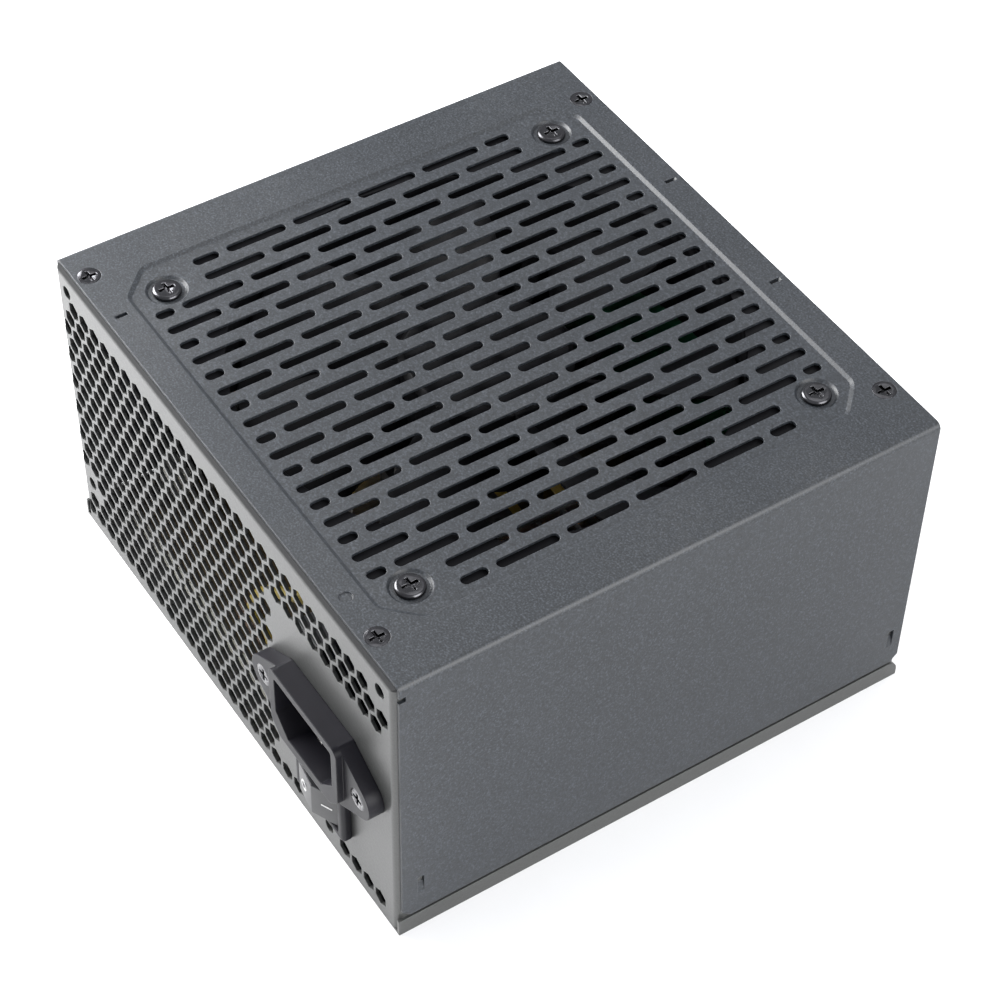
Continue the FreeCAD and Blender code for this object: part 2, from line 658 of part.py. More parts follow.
def lance_cutter(name, middle, heading):
    """Wedge that leaves a short tongue pushed down into the cover's top."""
    half, bite = S.lance_length / 2, S.sheet_thick + S.lance_bite
    corners = [(-half, 0.1), (half, 0.1), (half, -bite), (half - S.lance_width, -bite)]
    wedge = padded(name, "XZ_Plane", corners, S.lance_width, (0.0, 0.0, 0.0))
    wedge.Placement = FreeCAD.Placement(
        FreeCAD.Vector(float(middle[0]), float(middle[1]), float(S.case_height)),
        FreeCAD.Rotation(FreeCAD.Vector(0, 0, 1), heading))
    wedge.setExpression("Placement.Base.x", middle[0].text)
    wedge.setExpression("Placement.Base.y", middle[1].text)
    wedge.setExpression("Placement.Base.z", S.case_height.text)
    return wedge


def side_lance_cutter(name, side, y):
    """Wedge slot in a side of the cover: open at its top, a ramp at its bottom."""
    deep = (S.sheet_thick + 0.6) * -side
    corners = [(0.1 * side, 0.0), (0.1 * side, S.side_lance_height), (deep, S.side_lance_height)]
    at = (side * half_width, y + S.side_lance_width / 2, S.side_lance_base)
    return padded(name, "XZ_Plane", corners, S.side_lance_width, at)


def make_top_cover():
    base = S.strip_height + S.seam_gap
    depth = S.case_depth - S.cover_setback - S.cover_front_gap
    middle = (S.cover_setback - S.cover_front_gap) / 2
    outer = block("cover_outer", (S.case_width, depth, S.case_height - base), (0.0, middle, base))
    high, low = float(S.case_height), float(base)

    def long_top(edge):
        ends = edge.Vertexes
        return all(abs(v.Z - high) < 1e-6 for v in ends) and abs(ends[0].X - ends[1].X) < 1e-6

    def low_corner(edge):
        ends = edge.Vertexes
        return all(abs(v.Z - low) < 1e-6 for v in ends) and abs(ends[0].Y - ends[1].Y) < 1e-6

    bends = round_edges("cover_bends", outer, S.bend_radius, long_top)
    inside = (pan_half * 2, depth + through * 2, cover_inside - base + through)
    hollow = block("cover_hollow", inside, (0.0, middle, base - through))
    folded = cut("cover_folded", bends, [hollow])
    doc.recompute()
    corners = doc.addObject("Part::Chamfer", "cover_corners")
    corners.Base = folded
    size = float(S.cover_corner_cut)
    picked = [i for i, e in enumerate(folded.Shape.Edges, start=1) if low_corner(e)]
    corners.Edges = [(index, size, size) for index in picked]

    slope = float(S.emboss_slope)
    under, top = float(field_under), float(field_top)
    slab = Part.Face(emboss_outline(slope, under)).extrude(FreeCAD.Vector(0, 0, top - under))
    steps = [emboss_outline(0.0, top), emboss_outline(slope, float(S.case_height))]
    recess = Part.makeLoft(steps, True, True)
    members = [corners, formed("emboss_slab", slab)]
    tools = [formed("emboss_recess", recess)]
    for index, (x, y) in enumerate(fan_corners):
        radius, drop = S.fan_dimple_radius, S.fan_dimple_drop
        members.append(rod("dimple_boss_%d" % index, radius + S.sheet_thick, drop + 0.1, (x, y, fan_top)))
        floor = field_top - drop
        tools.append(cone("dimple_%d" % index, radius - drop, radius, drop, (x, y, floor)))
        hole = S.fan_screw_shank / 2 + S.screw_clear
        tools.append(rod("fan_screw_hole_%d" % index, hole, through * 2, (x, y, fan_top - 1.0)))
    shell = fuse("cover_shell", members)

    rear_line = rear_face + S.cover_screw_inset
    front_line = half_depth - S.cover_screw_inset + S.lance_front_shift
    lances = [
        ((-half_width + S.lance_left, rear_line), 90),
        ((-half_width + S.lance_middle, front_line), -90),
        ((-half_width + S.lance_right, front_line), -90),
    ]
    for index, (spot, heading) in enumerate(lances):
        tools.append(lance_cutter("top_lance_%d" % index, spot, heading))
    for side in (-1, 1):
        rear_y, front_y = rear_face + S.side_lance_rear, half_depth - S.side_lance_front
        tools.append(side_lance_cutter("rear_side_lance_%d" % side, side, rear_y))
        tools.append(side_lance_cutter("front_side_lance_%d" % side, side, front_y))
        notch = (S.bend_radius, S.bend_radius * 2, S.bend_radius)
        at = (side * (half_width - S.bend_radius / 2), rear_face + S.cover_setback,
              S.case_height - S.bend_radius * 3)
        tools.append(block("corner_relief_%d" % side, notch, at))
    tools += cover_screw_seats("cover_seat")
    pressed = cut("cover_pressed", shell, tools)
    slotted = cut("cover_slotted", pressed, [slot_cutters()])
    dot_at = (-half_width + S.dot_left, rear_line, S.case_height - S.dot_height)
    dot = rod("locating_dot", S.dot_radius, S.dot_height, dot_at)
    return piece("top_cover", cut("top_cover", slotted, [dot]))


def make_cover_screws():
    screws = []
    for index, (x, y) in enumerate(cover_screw_spots):
        stem = "cover_screw_%d" % index
        at = (x, y, S.case_height)
        parts = flat_screw(stem, S.cover_screw_head, S.cover_screw_sink, S.cover_screw_shank,
                           S.cover_screw_length, at)
        span = S.cover_screw_head * 0.62
        depth = S.cover_screw_sink * 0.7
        recess = cross_slot(stem + "_cross", span, depth, (x, y, S.case_height - depth))
        screws.append(cut(stem, fuse(stem + "_solid", parts), recess))
    return piece("cover_screws", group("cover_screws", screws))


# --------------------------------------------------------------------------
# Mains inlet
# --------------------------------------------------------------------------

def flange_wire():
    """Diamond flange: a flat middle that tapers to a round ear on each side."""
    half, high = float(S.inlet_half_flat), float(S.inlet_half_height)
    reach, radius = float(S.inlet_ear_reach), float(S.inlet_ear_radius)
    run, rise = half - reach, high
    lean = math.atan2(rise, run) - math.acos(radius / math.hypot(run, rise))
    tx, tz = reach + radius * math.cos(lean), radius * math.sin(lean)

    def spot(x, z):
        return FreeCAD.Vector(x, z, 0)

    edges = [
        Part.LineSegment(spot(-half, high), spot(half, high)),
        Part.LineSegment(spot(half, high), spot(tx, tz)),
        Part.Arc(spot(tx, tz), spot(reach + radius, 0), spot(tx, -tz)),
        Part.LineSegment(spot(tx, -tz), spot(half, -high)),
        Part.LineSegment(spot(half, -high), spot(-half, -high)),
        Part.LineSegment(spot(-half, -high), spot(-tx, -tz)),
        Part.Arc(spot(-tx, -tz), spot(-reach - radius, 0), spot(-tx, tz)),
        Part.LineSegment(spot(-tx, tz), spot(-half, high)),
    ]
    return Part.Wire([edge.toShape() for edge in edges])


def inlet_block(name, half_width_top, top, bottom, corner_cut, rounding, front, depth):
    """Block with both lower corners cut off, from y front back into the case."""
    w, c = half_width_top, corner_cut
    corners = [(w, top), (-w, top), (-w, bottom + c), (-w + c, bottom), (w - c, bottom), (w, bottom + c)]
    wire = rounded_polygon(corners, rounding)
    return formed(name, upright(wire, float(S.inlet_x), front, float(S.inlet_z), depth))


inlet_front = rear_face - S.inlet_collar
inlet_back = rear_face + S.inlet_body_depth
pin_spots = [(-S.inlet_pin_spread, S.inlet_pin_live), (S.inlet_pin_spread, S.inlet_pin_live),
             (0.0 * S.inlet_pin_spread, -S.inlet_pin_earth)]
ear_spots = [(S.inlet_x - S.inlet_ear_reach, S.inlet_z), (S.inlet_x + S.inlet_ear_reach, S.inlet_z)]


def make_inlet():
    flange = formed("inlet_flange", upright(
        flange_wire(), float(S.inlet_x), float(rear_face - S.inlet_flange), float(S.inlet_z),
        float(S.inlet_flange)))
    collar = inlet_block("inlet_collar", float(S.inlet_collar_width) / 2, float(S.inlet_half_height),
                         -float(S.inlet_collar_low), float(S.inlet_collar_cut),
                         float(S.inlet_corner), float(inlet_front), float(S.inlet_collar))
    body_extent = (S.inlet_body_width, S.inlet_body_depth + 0.5, S.inlet_body_height)
    body_at = (S.inlet_x, rear_face + (S.inlet_body_depth - 0.5) / 2, S.inlet_z - S.inlet_body_height / 2)
    body = block("inlet_body", body_extent, body_at)
    mouth = inlet_block("inlet_mouth", float(S.inlet_mouth_width) / 2, float(S.inlet_mouth_height) / 2,
                        -float(S.inlet_mouth_height) / 2, float(S.inlet_mouth_cut), 0.8,
                        float(inlet_front) - 1.0, float(S.inlet_mouth_depth) + 1.0)
    tools = [mouth]
    pins = []
    for index, (dx, dz) in enumerate(pin_spots):
        x, z = S.inlet_x + dx, S.inlet_z + dz
        tip = inlet_front + S.inlet_pin_recess
        length = inlet_back - tip
        extent = (S.inlet_pin_width, length, S.inlet_pin_height)
        at = (x, tip + length / 2, z - S.inlet_pin_height / 2)
        tools.append(block("pin_slot_%d" % index, extent, at))
        blade = block("pin_blade_%d" % index, extent, at)
        tail_extent = (S.inlet_tail_thick, S.inlet_tail, S.inlet_pin_height)
        tail_at = (x, inlet_back + S.inlet_tail / 2, z - S.inlet_pin_height / 2)
        pins.append(fuse("pin_%d" % index, [blade, block("pin_tail_%d" % index, tail_extent, tail_at)]))
    for index, (x, z) in enumerate(ear_spots):
        front = rear_face - S.inlet_flange
        shank = S.inlet_screw_shank / 2
        tools.append(rod("ear_bore_%d" % index, shank + S.screw_clear, S.inlet_flange + 1.0,
                         (x, front, z), "y"))
        tools.append(cone("ear_sink_%d" % index, S.inlet_screw_head / 2, shank, S.inlet_screw_sink,
                          (x, front, z), "y"))
    housing = cut("inlet_housing", fuse("inlet_shell", [flange, collar, body]), tools)
    piece("inlet_housing", housing)
    piece("inlet_pins", group("inlet_pins", pins))


def make_inlet_fasteners():
    screws, nuts = [], []
    for index, (x, z) in enumerate(ear_spots):
        stem = "inlet_screw_%d" % index
        front = rear_face - S.inlet_flange
        shank = S.inlet_screw_shank / 2
        head = cone(stem + "_head", S.inlet_screw_head / 2, shank, S.inlet_screw_sink, (x, front, z), "y")
        stem_rod = rod(stem + "_shank", shank, S.inlet_screw_length - S.inlet_screw_sink,
                       (x, front + S.inlet_screw_sink, z), "y")
        depth = S.inlet_screw_sink * 0.7
        at = (x, front + depth / 2, z)
        span = S.inlet_screw_head * 0.62
        width = span / 4.5
        slots = [block(stem + "_slot_a", (span, depth, width), (at[0], at[1], z - width / 2)),
                 block(stem + "_slot_b", (width, depth, span), (at[0], at[1], z - span / 2))]
        screws.append(cut(stem, fuse(stem + "_solid", [head, stem_rod]), slots))
        nut = doc.addObject("Part::Prism", "inlet_nut_blank_%d" % index)
        nut.Polygon = 6
        bind(nut, Circumradius=S.inlet_nut_flats / math.sqrt(3), Height=S.inlet_nut_thick)
        place(nut, (x, rear_inside, z), *AXIS_TURN["y"])
        bore = rod("inlet_nut_bore_%d" % index, shank, S.inlet_nut_thick, (x, rear_inside, z), "y")
        nuts.append(cut("inlet_nut_%d" % index, nut, [bore]))
    piece("inlet_screws", group("inlet_screws", screws))
    piece("inlet_nuts", group("inlet_nuts", nuts))


# --------------------------------------------------------------------------
# Rocker switch
# --------------------------------------------------------------------------

pivot_y = rear_face + S.pivot_inset


def make_switch_housing():
    bezel = block("bezel_blank", (S.bezel_width, S.bezel_thick, S.bezel_height),
                  (S.switch_x, rear_face - S.bezel_thick / 2, S.switch_z - S.bezel_height / 2))
    front = float(rear_face - S.bezel_thick)

    def rim(edge):
        ends = edge.Vertexes
        along_y = abs(ends[0].Y - ends[1].Y) > 1e-6
        return along_y or all(abs(v.Y - front) < 1e-6 for v in ends)

    bezel = round_edges("bezel", bezel, S.bezel_corner, rim)
    body_extent = (S.switch_body_width, S.switch_body_depth + 0.5, S.switch_body_height)
    body_at = (S.switch_x, rear_face + (S.switch_body_depth - 0.5) / 2,
               S.switch_z - S.switch_body_height / 2)
    body = block("switch_body", body_extent, body_at)
    mouth_depth = S.rocker_mouth_depth + 1.0
    mouth = block("rocker_mouth", (S.rocker_mouth_width, mouth_depth, S.rocker_mouth_height),
                  (S.switch_x, rear_face - S.bezel_thick - 1.0 + mouth_depth / 2,
                   S.switch_z - S.rocker_mouth_height / 2))
    span = S.rocker_mouth_height + S.pivot_length * 2
    bores = rod("pivot_bores", S.pivot_radius + S.pivot_clear, span,
                (S.switch_x, pivot_y, S.switch_z - span / 2))
    shell = fuse("switch_shell", [bezel, body])
    return piece("switch_housing", cut("switch_housing", shell, [mouth, bores]))


def tilted(name, target):
    """Turn a piece of the rocker about its pivot into its resting position."""
    bundle = group(name, [target])
    pivot = FreeCAD.Vector(float(S.switch_x), float(pivot_y), 0)
    turn = FreeCAD.Rotation(FreeCAD.Vector(0, 0, 1), float(S.rocker_tilt))
    bundle.Placement = FreeCAD.Placement(FreeCAD.Vector(0, 0, 0), turn, pivot)
    return bundle


def make_rocker():
    height = S.rocker_mouth_height - S.rocker_side_gap * 2
    base = S.switch_z - height / 2
    reach = float(S.rocker_reach)
    fall = reach * math.tan(math.radians(float(S.rocker_slope)))
    ridge, skirt = float(S.rocker_ridge), float(S.rocker_skirt)
    corners = [(0, -ridge), (reach, fall - ridge), (reach, skirt), (-reach, skirt), (-reach, fall - ridge)]
    points = [FreeCAD.Vector(x, y, float(base)) for x, y in corners]
    roof = Part.Face(Part.makePolygon(points + points[:1])).extrude(FreeCAD.Vector(0, 0, float(height)))
    roof.translate(FreeCAD.Vector(float(S.switch_x), float(pivot_y), 0))
    drum = rod("rocker_drum", S.rocker_reach, height, (S.switch_x, pivot_y, base))
    paddle = common("rocker_paddle", formed("rocker_roof", roof), drum)
    span = S.rocker_mouth_height + S.pivot_length * 2 - S.rocker_side_gap
    pin = rod("rocker_pin", S.pivot_radius, span, (S.switch_x, pivot_y, S.switch_z - span / 2))
    piece("switch_rocker", tilted("switch_rocker", fuse("rocker_solid", [paddle, pin])))

    slope = math.radians(float(S.rocker_slope))
    thick, stroke, radius = float(S.mark_thick), float(S.mark_stroke), float(S.mark_radius)
    centre, outwards = FreeCAD.Vector(0, 0, 0), FreeCAD.Vector(0, -1, 0)
    ring = Part.makeCylinder(radius, thick, centre, outwards)
    ring = ring.cut(Part.makeCylinder(radius - stroke, thick, centre, outwards))
    corner = FreeCAD.Vector(-stroke / 2, 0, radius)
    bar = Part.makePlane(stroke, 2 * radius, corner, FreeCAD.Vector(0, 1, 0)).extrude(outwards * thick)
    box = bar.BoundBox
    bar.translate(FreeCAD.Vector(-box.Center.x, -box.YMax, -box.Center.z))
    marks = []
    for side, mark in ((-1, ring), (1, bar)):
        reach = float(S.mark_reach)
        spot = FreeCAD.Vector(side * reach, reach * math.tan(slope) - ridge, 0)
        mark.rotate(FreeCAD.Vector(0, 0, 0), FreeCAD.Vector(0, 0, 1), side * math.degrees(slope))
        mark.translate(spot + FreeCAD.Vector(float(S.switch_x), float(pivot_y), float(S.switch_z)))
        marks.append(mark)
    piece("rocker_marks", tilted("rocker_marks", formed("rocker_mark_shapes", Part.makeCompound(marks))))


def make_switch_terminals():
    tails = []
    for index, side in enumerate((-1, 1)):
        back = rear_face + S.switch_body_depth
        at = (S.switch_x + side * S.switch_tail_spread, back + S.switch_tail / 2,
              S.switch_z - S.switch_tail_width / 2)
        extent = (S.switch_tail_thick, S.switch_tail, S.switch_tail_width)
        tails.append(block("switch_tail_%d" % index, extent, at))
    return piece("switch_terminals", group("switch_terminals", tails))


# --------------------------------------------------------------------------
# Fan
# --------------------------------------------------------------------------

motor_floor = fan_base + S.motor_base_thick
hub_base = motor_floor + S.hub_gap
hub_top = hub_base + S.hub_height
tube_height = S.bearing_length + S.bearing_floor


def make_fan_frame():
    ring_outer = S.fan_size / 2 - S.ring_inset
    members = [rod("fan_barrel", ring_outer, S.fan_thick, (0.0, 0.0, fan_base))]
    for index, base in enumerate((fan_base, fan_top - S.fan_flange)):
        plate = block("fan_plate_%d" % index, (S.fan_size, S.fan_size, S.fan_flange), (0.0, 0.0, base))

        def upright_edge(edge):
            return abs(edge.Vertexes[0].Z - edge.Vertexes[1].Z) > 1e-6

        members.append(round_edges("fan_plate_round_%d" % index, plate, S.fan_corner, upright_edge))
    frame = fuse("fan_frame_solid", members)
    bore = rod("fan_bore", S.fan_bore / 2, S.fan_thick, (0.0, 0.0, fan_base))
    holes = [rod("fan_hole_%d" % i, S.fan_hole / 2, S.fan_thick, (x, y, fan_base))
             for i, (x, y) in enumerate(fan_corners)]
    ring = cut("fan_ring_open", frame, [bore] + holes)
    base = rod("motor_base", S.motor_base_radius, S.motor_base_thick, (0.0, 0.0, fan_base))
    tube = rod("bearing_tube", S.bearing_tube_radius, tube_height, (0.0, 0.0, motor_floor))
    struts = []
    for index, angle in enumerate((45, 135, 225, 315)):
        strut = doc.addObject("Part::Box", "strut_%d" % index)
        bind(strut, Length=S.fan_bore / 2 + 0.6 - S.motor_base_radius / 2, Width=S.strut_width,
             Height=S.strut_thick)
        turn = FreeCAD.Rotation(FreeCAD.Vector(0, 0, 1), angle)
        corner = FreeCAD.Vector(float(S.motor_base_radius) / 2, -float(S.strut_width) / 2, 0)
        strut.Placement = FreeCAD.Placement(turn.multVec(corner), turn)
        strut.setExpression("Placement.Base.z", fan_base.text)
        struts.append(strut)
    bearing_hole = rod("bearing_seat", S.bearing_radius, S.bearing_length,
                       (0.0, 0.0, motor_floor + S.bearing_floor))
    solid = fuse("fan_frame_full", [ring, base, tube] + struts)
    return piece("fan_frame", cut("fan_frame", solid, [bearing_hole]))


def make_fan_motor():
    seat = motor_floor + S.bearing_floor
    bush = rod("bearing_bush", S.bearing_radius, S.bearing_length, (0.0, 0.0, seat))
    bore = rod("bearing_bore", S.shaft_radius + S.shaft_clear, S.bearing_length, (0.0, 0.0, seat))
    piece("fan_bearing", cut("fan_bearing", bush, [bore]))

    board_base = motor_floor + 0.2
    board = rod("fan_board_disc", S.fan_board_radius, S.fan_board_thick, (0.0, 0.0, board_base))
    hole = rod("fan_board_hole", S.bearing_tube_radius, S.fan_board_thick, (0.0, 0.0, board_base))
    piece("fan_circuit_board", cut("fan_circuit_board", board, [hole]))

    stator_base = board_base + S.fan_board_thick + S.coil_wrap + 0.4
    core = [rod("stator_core", S.stator_core_radius, S.stator_height, (0.0, 0.0, stator_base))]
    coils = []
    count = int(S.stator_poles.value)
    shoe_wall = 1.6
    for index in range(count):
        turn = FreeCAD.Rotation(FreeCAD.Vector(0, 0, 1), 360.0 * index / count)
        pole = doc.addObject("Part::Box", "pole_%d" % index)
        bind(pole, Length=S.stator_radius - 0.4, Width=S.stator_pole_width, Height=S.stator_height)
        pole.Placement = FreeCAD.Placement(
            turn.multVec(FreeCAD.Vector(0, -float(S.stator_pole_width) / 2, 0)), turn)
        pole.setExpression("Placement.Base.z", stator_base.text)
        core.append(pole)
        length = S.stator_radius - shoe_wall - S.stator_core_radius - 0.4
        wrap = doc.addObject("Part::Box", "coil_blank_%d" % index)
        bind(wrap, Length=length, Width=S.stator_pole_width + S.coil_wrap * 2,
             Height=S.stator_height + S.coil_wrap * 2)
        corner = FreeCAD.Vector(float(S.stator_core_radius) + 0.2,
                                -float(S.stator_pole_width) / 2 - float(S.coil_wrap), 0)
        wrap.Placement = FreeCAD.Placement(turn.multVec(corner), turn)
        wrap.setExpression("Placement.Base.z", (stator_base - S.coil_wrap).text)
        coils.append(wrap)
    rim = rod("stator_rim", S.stator_radius, S.stator_height, (0.0, 0.0, stator_base))
    inner = rod("stator_rim_bore", S.stator_radius - shoe_wall, S.stator_height, (0.0, 0.0, stator_base))
    shoes = cut("stator_shoes_ring", rim, [inner])
    gaps = []
    for index in range(count):
        angle = 360.0 * (index + 0.5) / count
        turn = FreeCAD.Rotation(FreeCAD.Vector(0, 0, 1), angle)
        gap = doc.addObject("Part::Box", "shoe_gap_%d" % index)
        bind(gap, Length=S.stator_radius + 1.0, Width=S.stator_pole_width * 1.4, Height=S.stator_height)
        gap.Placement = FreeCAD.Placement(
            turn.multVec(FreeCAD.Vector(0, -0.7 * float(S.stator_pole_width), 0)), turn)
        gap.setExpression("Placement.Base.z", stator_base.text)
        gaps.append(gap)
    core.append(cut("stator_shoes", shoes, gaps))
    post = rod("stator_post", S.bearing_tube_radius, S.stator_height, (0.0, 0.0, stator_base))
    stator = cut("fan_stator", fuse("stator_solid", core), [post])
    piece("fan_stator", stator)
    piece("fan_coils", cut("fan_coils", fuse("coil_blanks", coils), [stator]))


def blade_section(radius, middle, turn, lift):
    """Curved aerofoil outline in the upright plane at the given distance out."""
    out = FreeCAD.Vector(math.cos(math.radians(middle)), math.sin(math.radians(middle)), 0)
    along = FreeCAD.Vector(-out.y, out.x, 0)
    half = radius * math.sin(math.radians(float(turn)) / 2)
    rise, camber = float(S.blade_rise), float(S.blade_camber)
    low = float(hub_base) + 0.8
    thick = float(S.blade_thick) / 2
    upper, lower = [], []
    for share in (0.0, 0.25, 0.5, 0.75, 1.0):
        height = low + thick + share * rise * lift + camber * math.sin(math.pi * share)
        body = thick * (0.35 + 0.65 * math.sin(math.pi * (0.15 + 0.7 * share)))
        spot = out * radius + along * (half * (1 - 2 * share))
        upper.append(spot + FreeCAD.Vector(0, 0, height + body))
        lower.append(spot + FreeCAD.Vector(0, 0, height - body))
    top = Part.BSplineCurve()
    top.interpolate(upper)
    under = Part.BSplineCurve()
    under.interpolate(lower[::-1])
    edges = [top.toShape(), Part.LineSegment(upper[-1], lower[-1]).toShape()]
    edges += [under.toShape(), Part.LineSegment(lower[0], upper[0]).toShape()]
    return Part.Wire(edges)


def make_impeller():
    yoke_outer = S.hub_radius - S.hub_wall
    roof = hub_top - S.hub_wall
    shell = revolved("impeller_hub", [
        (S.shaft_radius, roof - hub_base), (yoke_outer, roof - hub_base), (yoke_outer, 0.0),
        (S.hub_radius, 0.0), (S.hub_radius, S.hub_height - S.hub_edge),
        (S.hub_radius - S.hub_edge, S.hub_height), (S.shaft_radius, S.hub_height),
    ], (0.0, 0.0, hub_base))
    tip = float(S.fan_bore) / 2 - float(S.blade_tip_gap)
    root = float(S.hub_radius) - 0.7 * float(S.hub_wall)
    middle = (root + tip) / 2
    count = int(S.blade_count.value)
    reach = rod("blade_reach", tip, S.fan_thick, (0.0, 0.0, fan_base))
    blades = []
    for index in range(count):
        start = 360.0 * index / count
        turns = (S.blade_root_turn, (S.blade_root_turn + S.blade_tip_turn) / 2, S.blade_tip_turn)
        sections = [
            blade_section(root, start, turns[0], 1.0),
            blade_section(middle, start + float(S.blade_sweep) * 0.4, turns[1], 0.95),
            blade_section(tip, start + float(S.blade_sweep), turns[2], 0.9),
        ]
        blank = formed("blade_blank_%d" % index, Part.makeLoft(sections, True, False))
        blades.append(common("blade_%d" % index, blank, reach))
    impeller = fuse("fan_impeller", [shell] + blades)
    impeller.Refine = False
    piece("fan_impeller", impeller)

    shaft_base = motor_floor + S.bearing_floor + 0.3
    piece("fan_shaft", rod("fan_shaft", S.shaft_radius, hub_top - shaft_base, (0.0, 0.0, shaft_base)))

    yoke_base = hub_base + 0.6
    yoke = rod("yoke_outer", yoke_outer, roof - yoke_base, (0.0, 0.0, yoke_base))
    core = rod("yoke_inner", yoke_outer - S.yoke_wall, roof - yoke_base, (0.0, 0.0, yoke_base))
    piece("rotor_yoke", cut("rotor_yoke", yoke, [core]))

    magnet_base = yoke_base + 0.6
    outer = rod("magnet_outer", yoke_outer - S.yoke_wall, S.magnet_height, (0.0, 0.0, magnet_base))
    hollow = rod("magnet_inner", yoke_outer - S.yoke_wall - S.magnet_wall, S.magnet_height,
                 (0.0, 0.0, magnet_base))
    piece("rotor_magnet", cut("rotor_magnet", outer, [hollow]))


def make_fan_screws():
    screws = []
    for index, (x, y) in enumerate(fan_corners):
        stem = "fan_screw_%d" % index
        seat = field_top - S.fan_dimple_drop
        head = rod(stem + "_head", S.fan_screw_head / 2, S.fan_screw_rise, (x, y, seat))
        high = float(seat + S.fan_screw_rise)

        def crown(edge, level=high):
            return all(abs(v.Z - level) < 1e-6 for v in edge.Vertexes)

        domed = round_edges(stem + "_domed", head, S.fan_screw_rise * 0.7, crown)
        shank = rod(stem + "_shank", S.fan_screw_shank / 2, S.fan_screw_length,
                    (x, y, seat - S.fan_screw_length))
        depth = S.fan_screw_rise * 0.8
        recess = cross_slot(stem + "_cross", S.fan_screw_head * 0.56, depth,
                            (x, y, seat + S.fan_screw_rise - depth))
        screws.append(cut(stem, fuse(stem + "_solid", [domed, shank]), recess))
    piece("fan_screws", group("fan_screws", screws))


# --------------------------------------------------------------------------
# Main board, what holds it, and the parts on it
# --------------------------------------------------------------------------

def make_board():
    extent = (S.board_width, board_depth)
    liner = block("liner_blank", extent + (S.liner_thick,), (0.0, board_y, S.sheet_thick))
    board = block("board_blank", extent + (S.board_thick,), (0.0, board_y, board_under))
    liner_holes, board_holes, posts, screws = [], [], [], []
    for index, (x, y) in enumerate(board_spots):
        wide = S.standoff_radius + S.cutout_clear
        liner_holes.append(rod("liner_hole_%d" % index, wide, S.liner_thick, (x, y, S.sheet_thick)))
        on_tray, under_board, on_board = (x, y, S.sheet_thick), (x, y, board_under), (x, y, board_top)
        board_holes.append(rod("board_hole_%d" % index, S.board_hole / 2, S.board_thick, under_board))
        post = rod("standoff_post_%d" % index, S.standoff_radius, S.standoff_height, on_tray)
        shank = S.board_hole / 2 - 0.2
        reach = S.board_screw_length - S.board_screw_rise
        bore = rod("standoff_bore_%d" % index, shank + S.screw_clear, reach, (x, y, board_top - reach))
        posts.append(cut("standoff_%d" % index, post, [bore]))
        head = rod("board_screw_head_%d" % index, S.board_screw_head / 2, S.board_screw_rise, on_board)
        stem = rod("board_screw_stem_%d" % index, shank, reach, (x, y, board_top - reach))
        depth = S.board_screw_rise * 0.6
        at = (x, y, board_top + S.board_screw_rise - depth)
        recess = cross_slot("board_screw_cross_%d" % index, S.board_screw_head * 0.6, depth, at)
        solid = fuse("board_screw_solid_%d" % index, [head, stem])
        screws.append(cut("board_screw_%d" % index, solid, recess))
    piece("insulating_sheet", cut("insulating_sheet", liner, liner_holes))
    piece("main_board", cut("main_board", board, board_holes))
    piece("board_standoffs", group("board_standoffs", posts))
    piece("board_screws", group("board_screws", screws))


def make_heatsink(label, x, outward):
    """Upright plate along Y whose top carries short fins on its outward side."""
    height = S.sink_height
    plate = block(label + "_plate", (S.sink_thick, S.sink_length, height), (x, S.sink_y, board_top))
    count = int(S.sink_fin_count.value)
    pitch = (S.sink_length - S.sink_fin_thick) / (count - 1)
    fins = []
    for index in range(count):
        y = S.sink_y - S.sink_length / 2 + S.sink_fin_thick / 2 + pitch * float(index)
        middle = x + outward * (S.sink_thick / 2 + S.sink_fin / 2)
        extent = (S.sink_fin, S.sink_fin_thick, S.sink_fin_height)
        at = (middle, y, board_top + height - S.sink_fin_height)
        fins.append(block("%s_fin_%d" % (label, index), extent, at))
    holes = []
    for index in (-1, 0, 1):
        at = (x - S.sink_thick, S.sink_y + S.device_pitch * float(index), screw_height)
        holes.append(rod("%s_hole_%d" % (label, index), S.device_screw / 2 + S.screw_clear,
                         S.sink_thick * 2, at, "x"))
    return piece(label, cut(label, fuse(label + "_solid", [plate] + fins), holes))


screw_height = board_top + S.device_lift + S.device_height - S.device_screw_drop


def make_power_devices(label, x, side):
    """Three upright packages against one face of a heatsink, each with three legs."""
    devices = []
    for index in (-1, 0, 1):
        y = S.sink_y + S.device_pitch * float(index)
        middle = x + side * (S.sink_thick / 2 + S.device_thick / 2)
        stem = "%s_%d" % (label, index)
        base = board_top + S.device_lift
        body = block(stem + "_body", (S.device_thick, S.device_width, S.device_height), (middle, y, base))
        leg = (S.device_leg_thick, S.device_leg_wide, S.device_lift)
        legs = [
            block("%s_leg_%d" % (stem, step), leg, (middle, y + S.device_leg_pitch * float(step), board_top))
            for step in (-1, 0, 1)
        ]
        at = (middle - S.device_thick, y, screw_height)
        bore = rod(stem + "_bore", S.device_screw / 2 + S.screw_clear, S.device_thick * 2, at, "x")
        devices.append(cut(stem, fuse(stem + "_solid", [body] + legs), [bore]))
    return piece(label, group(label, devices))


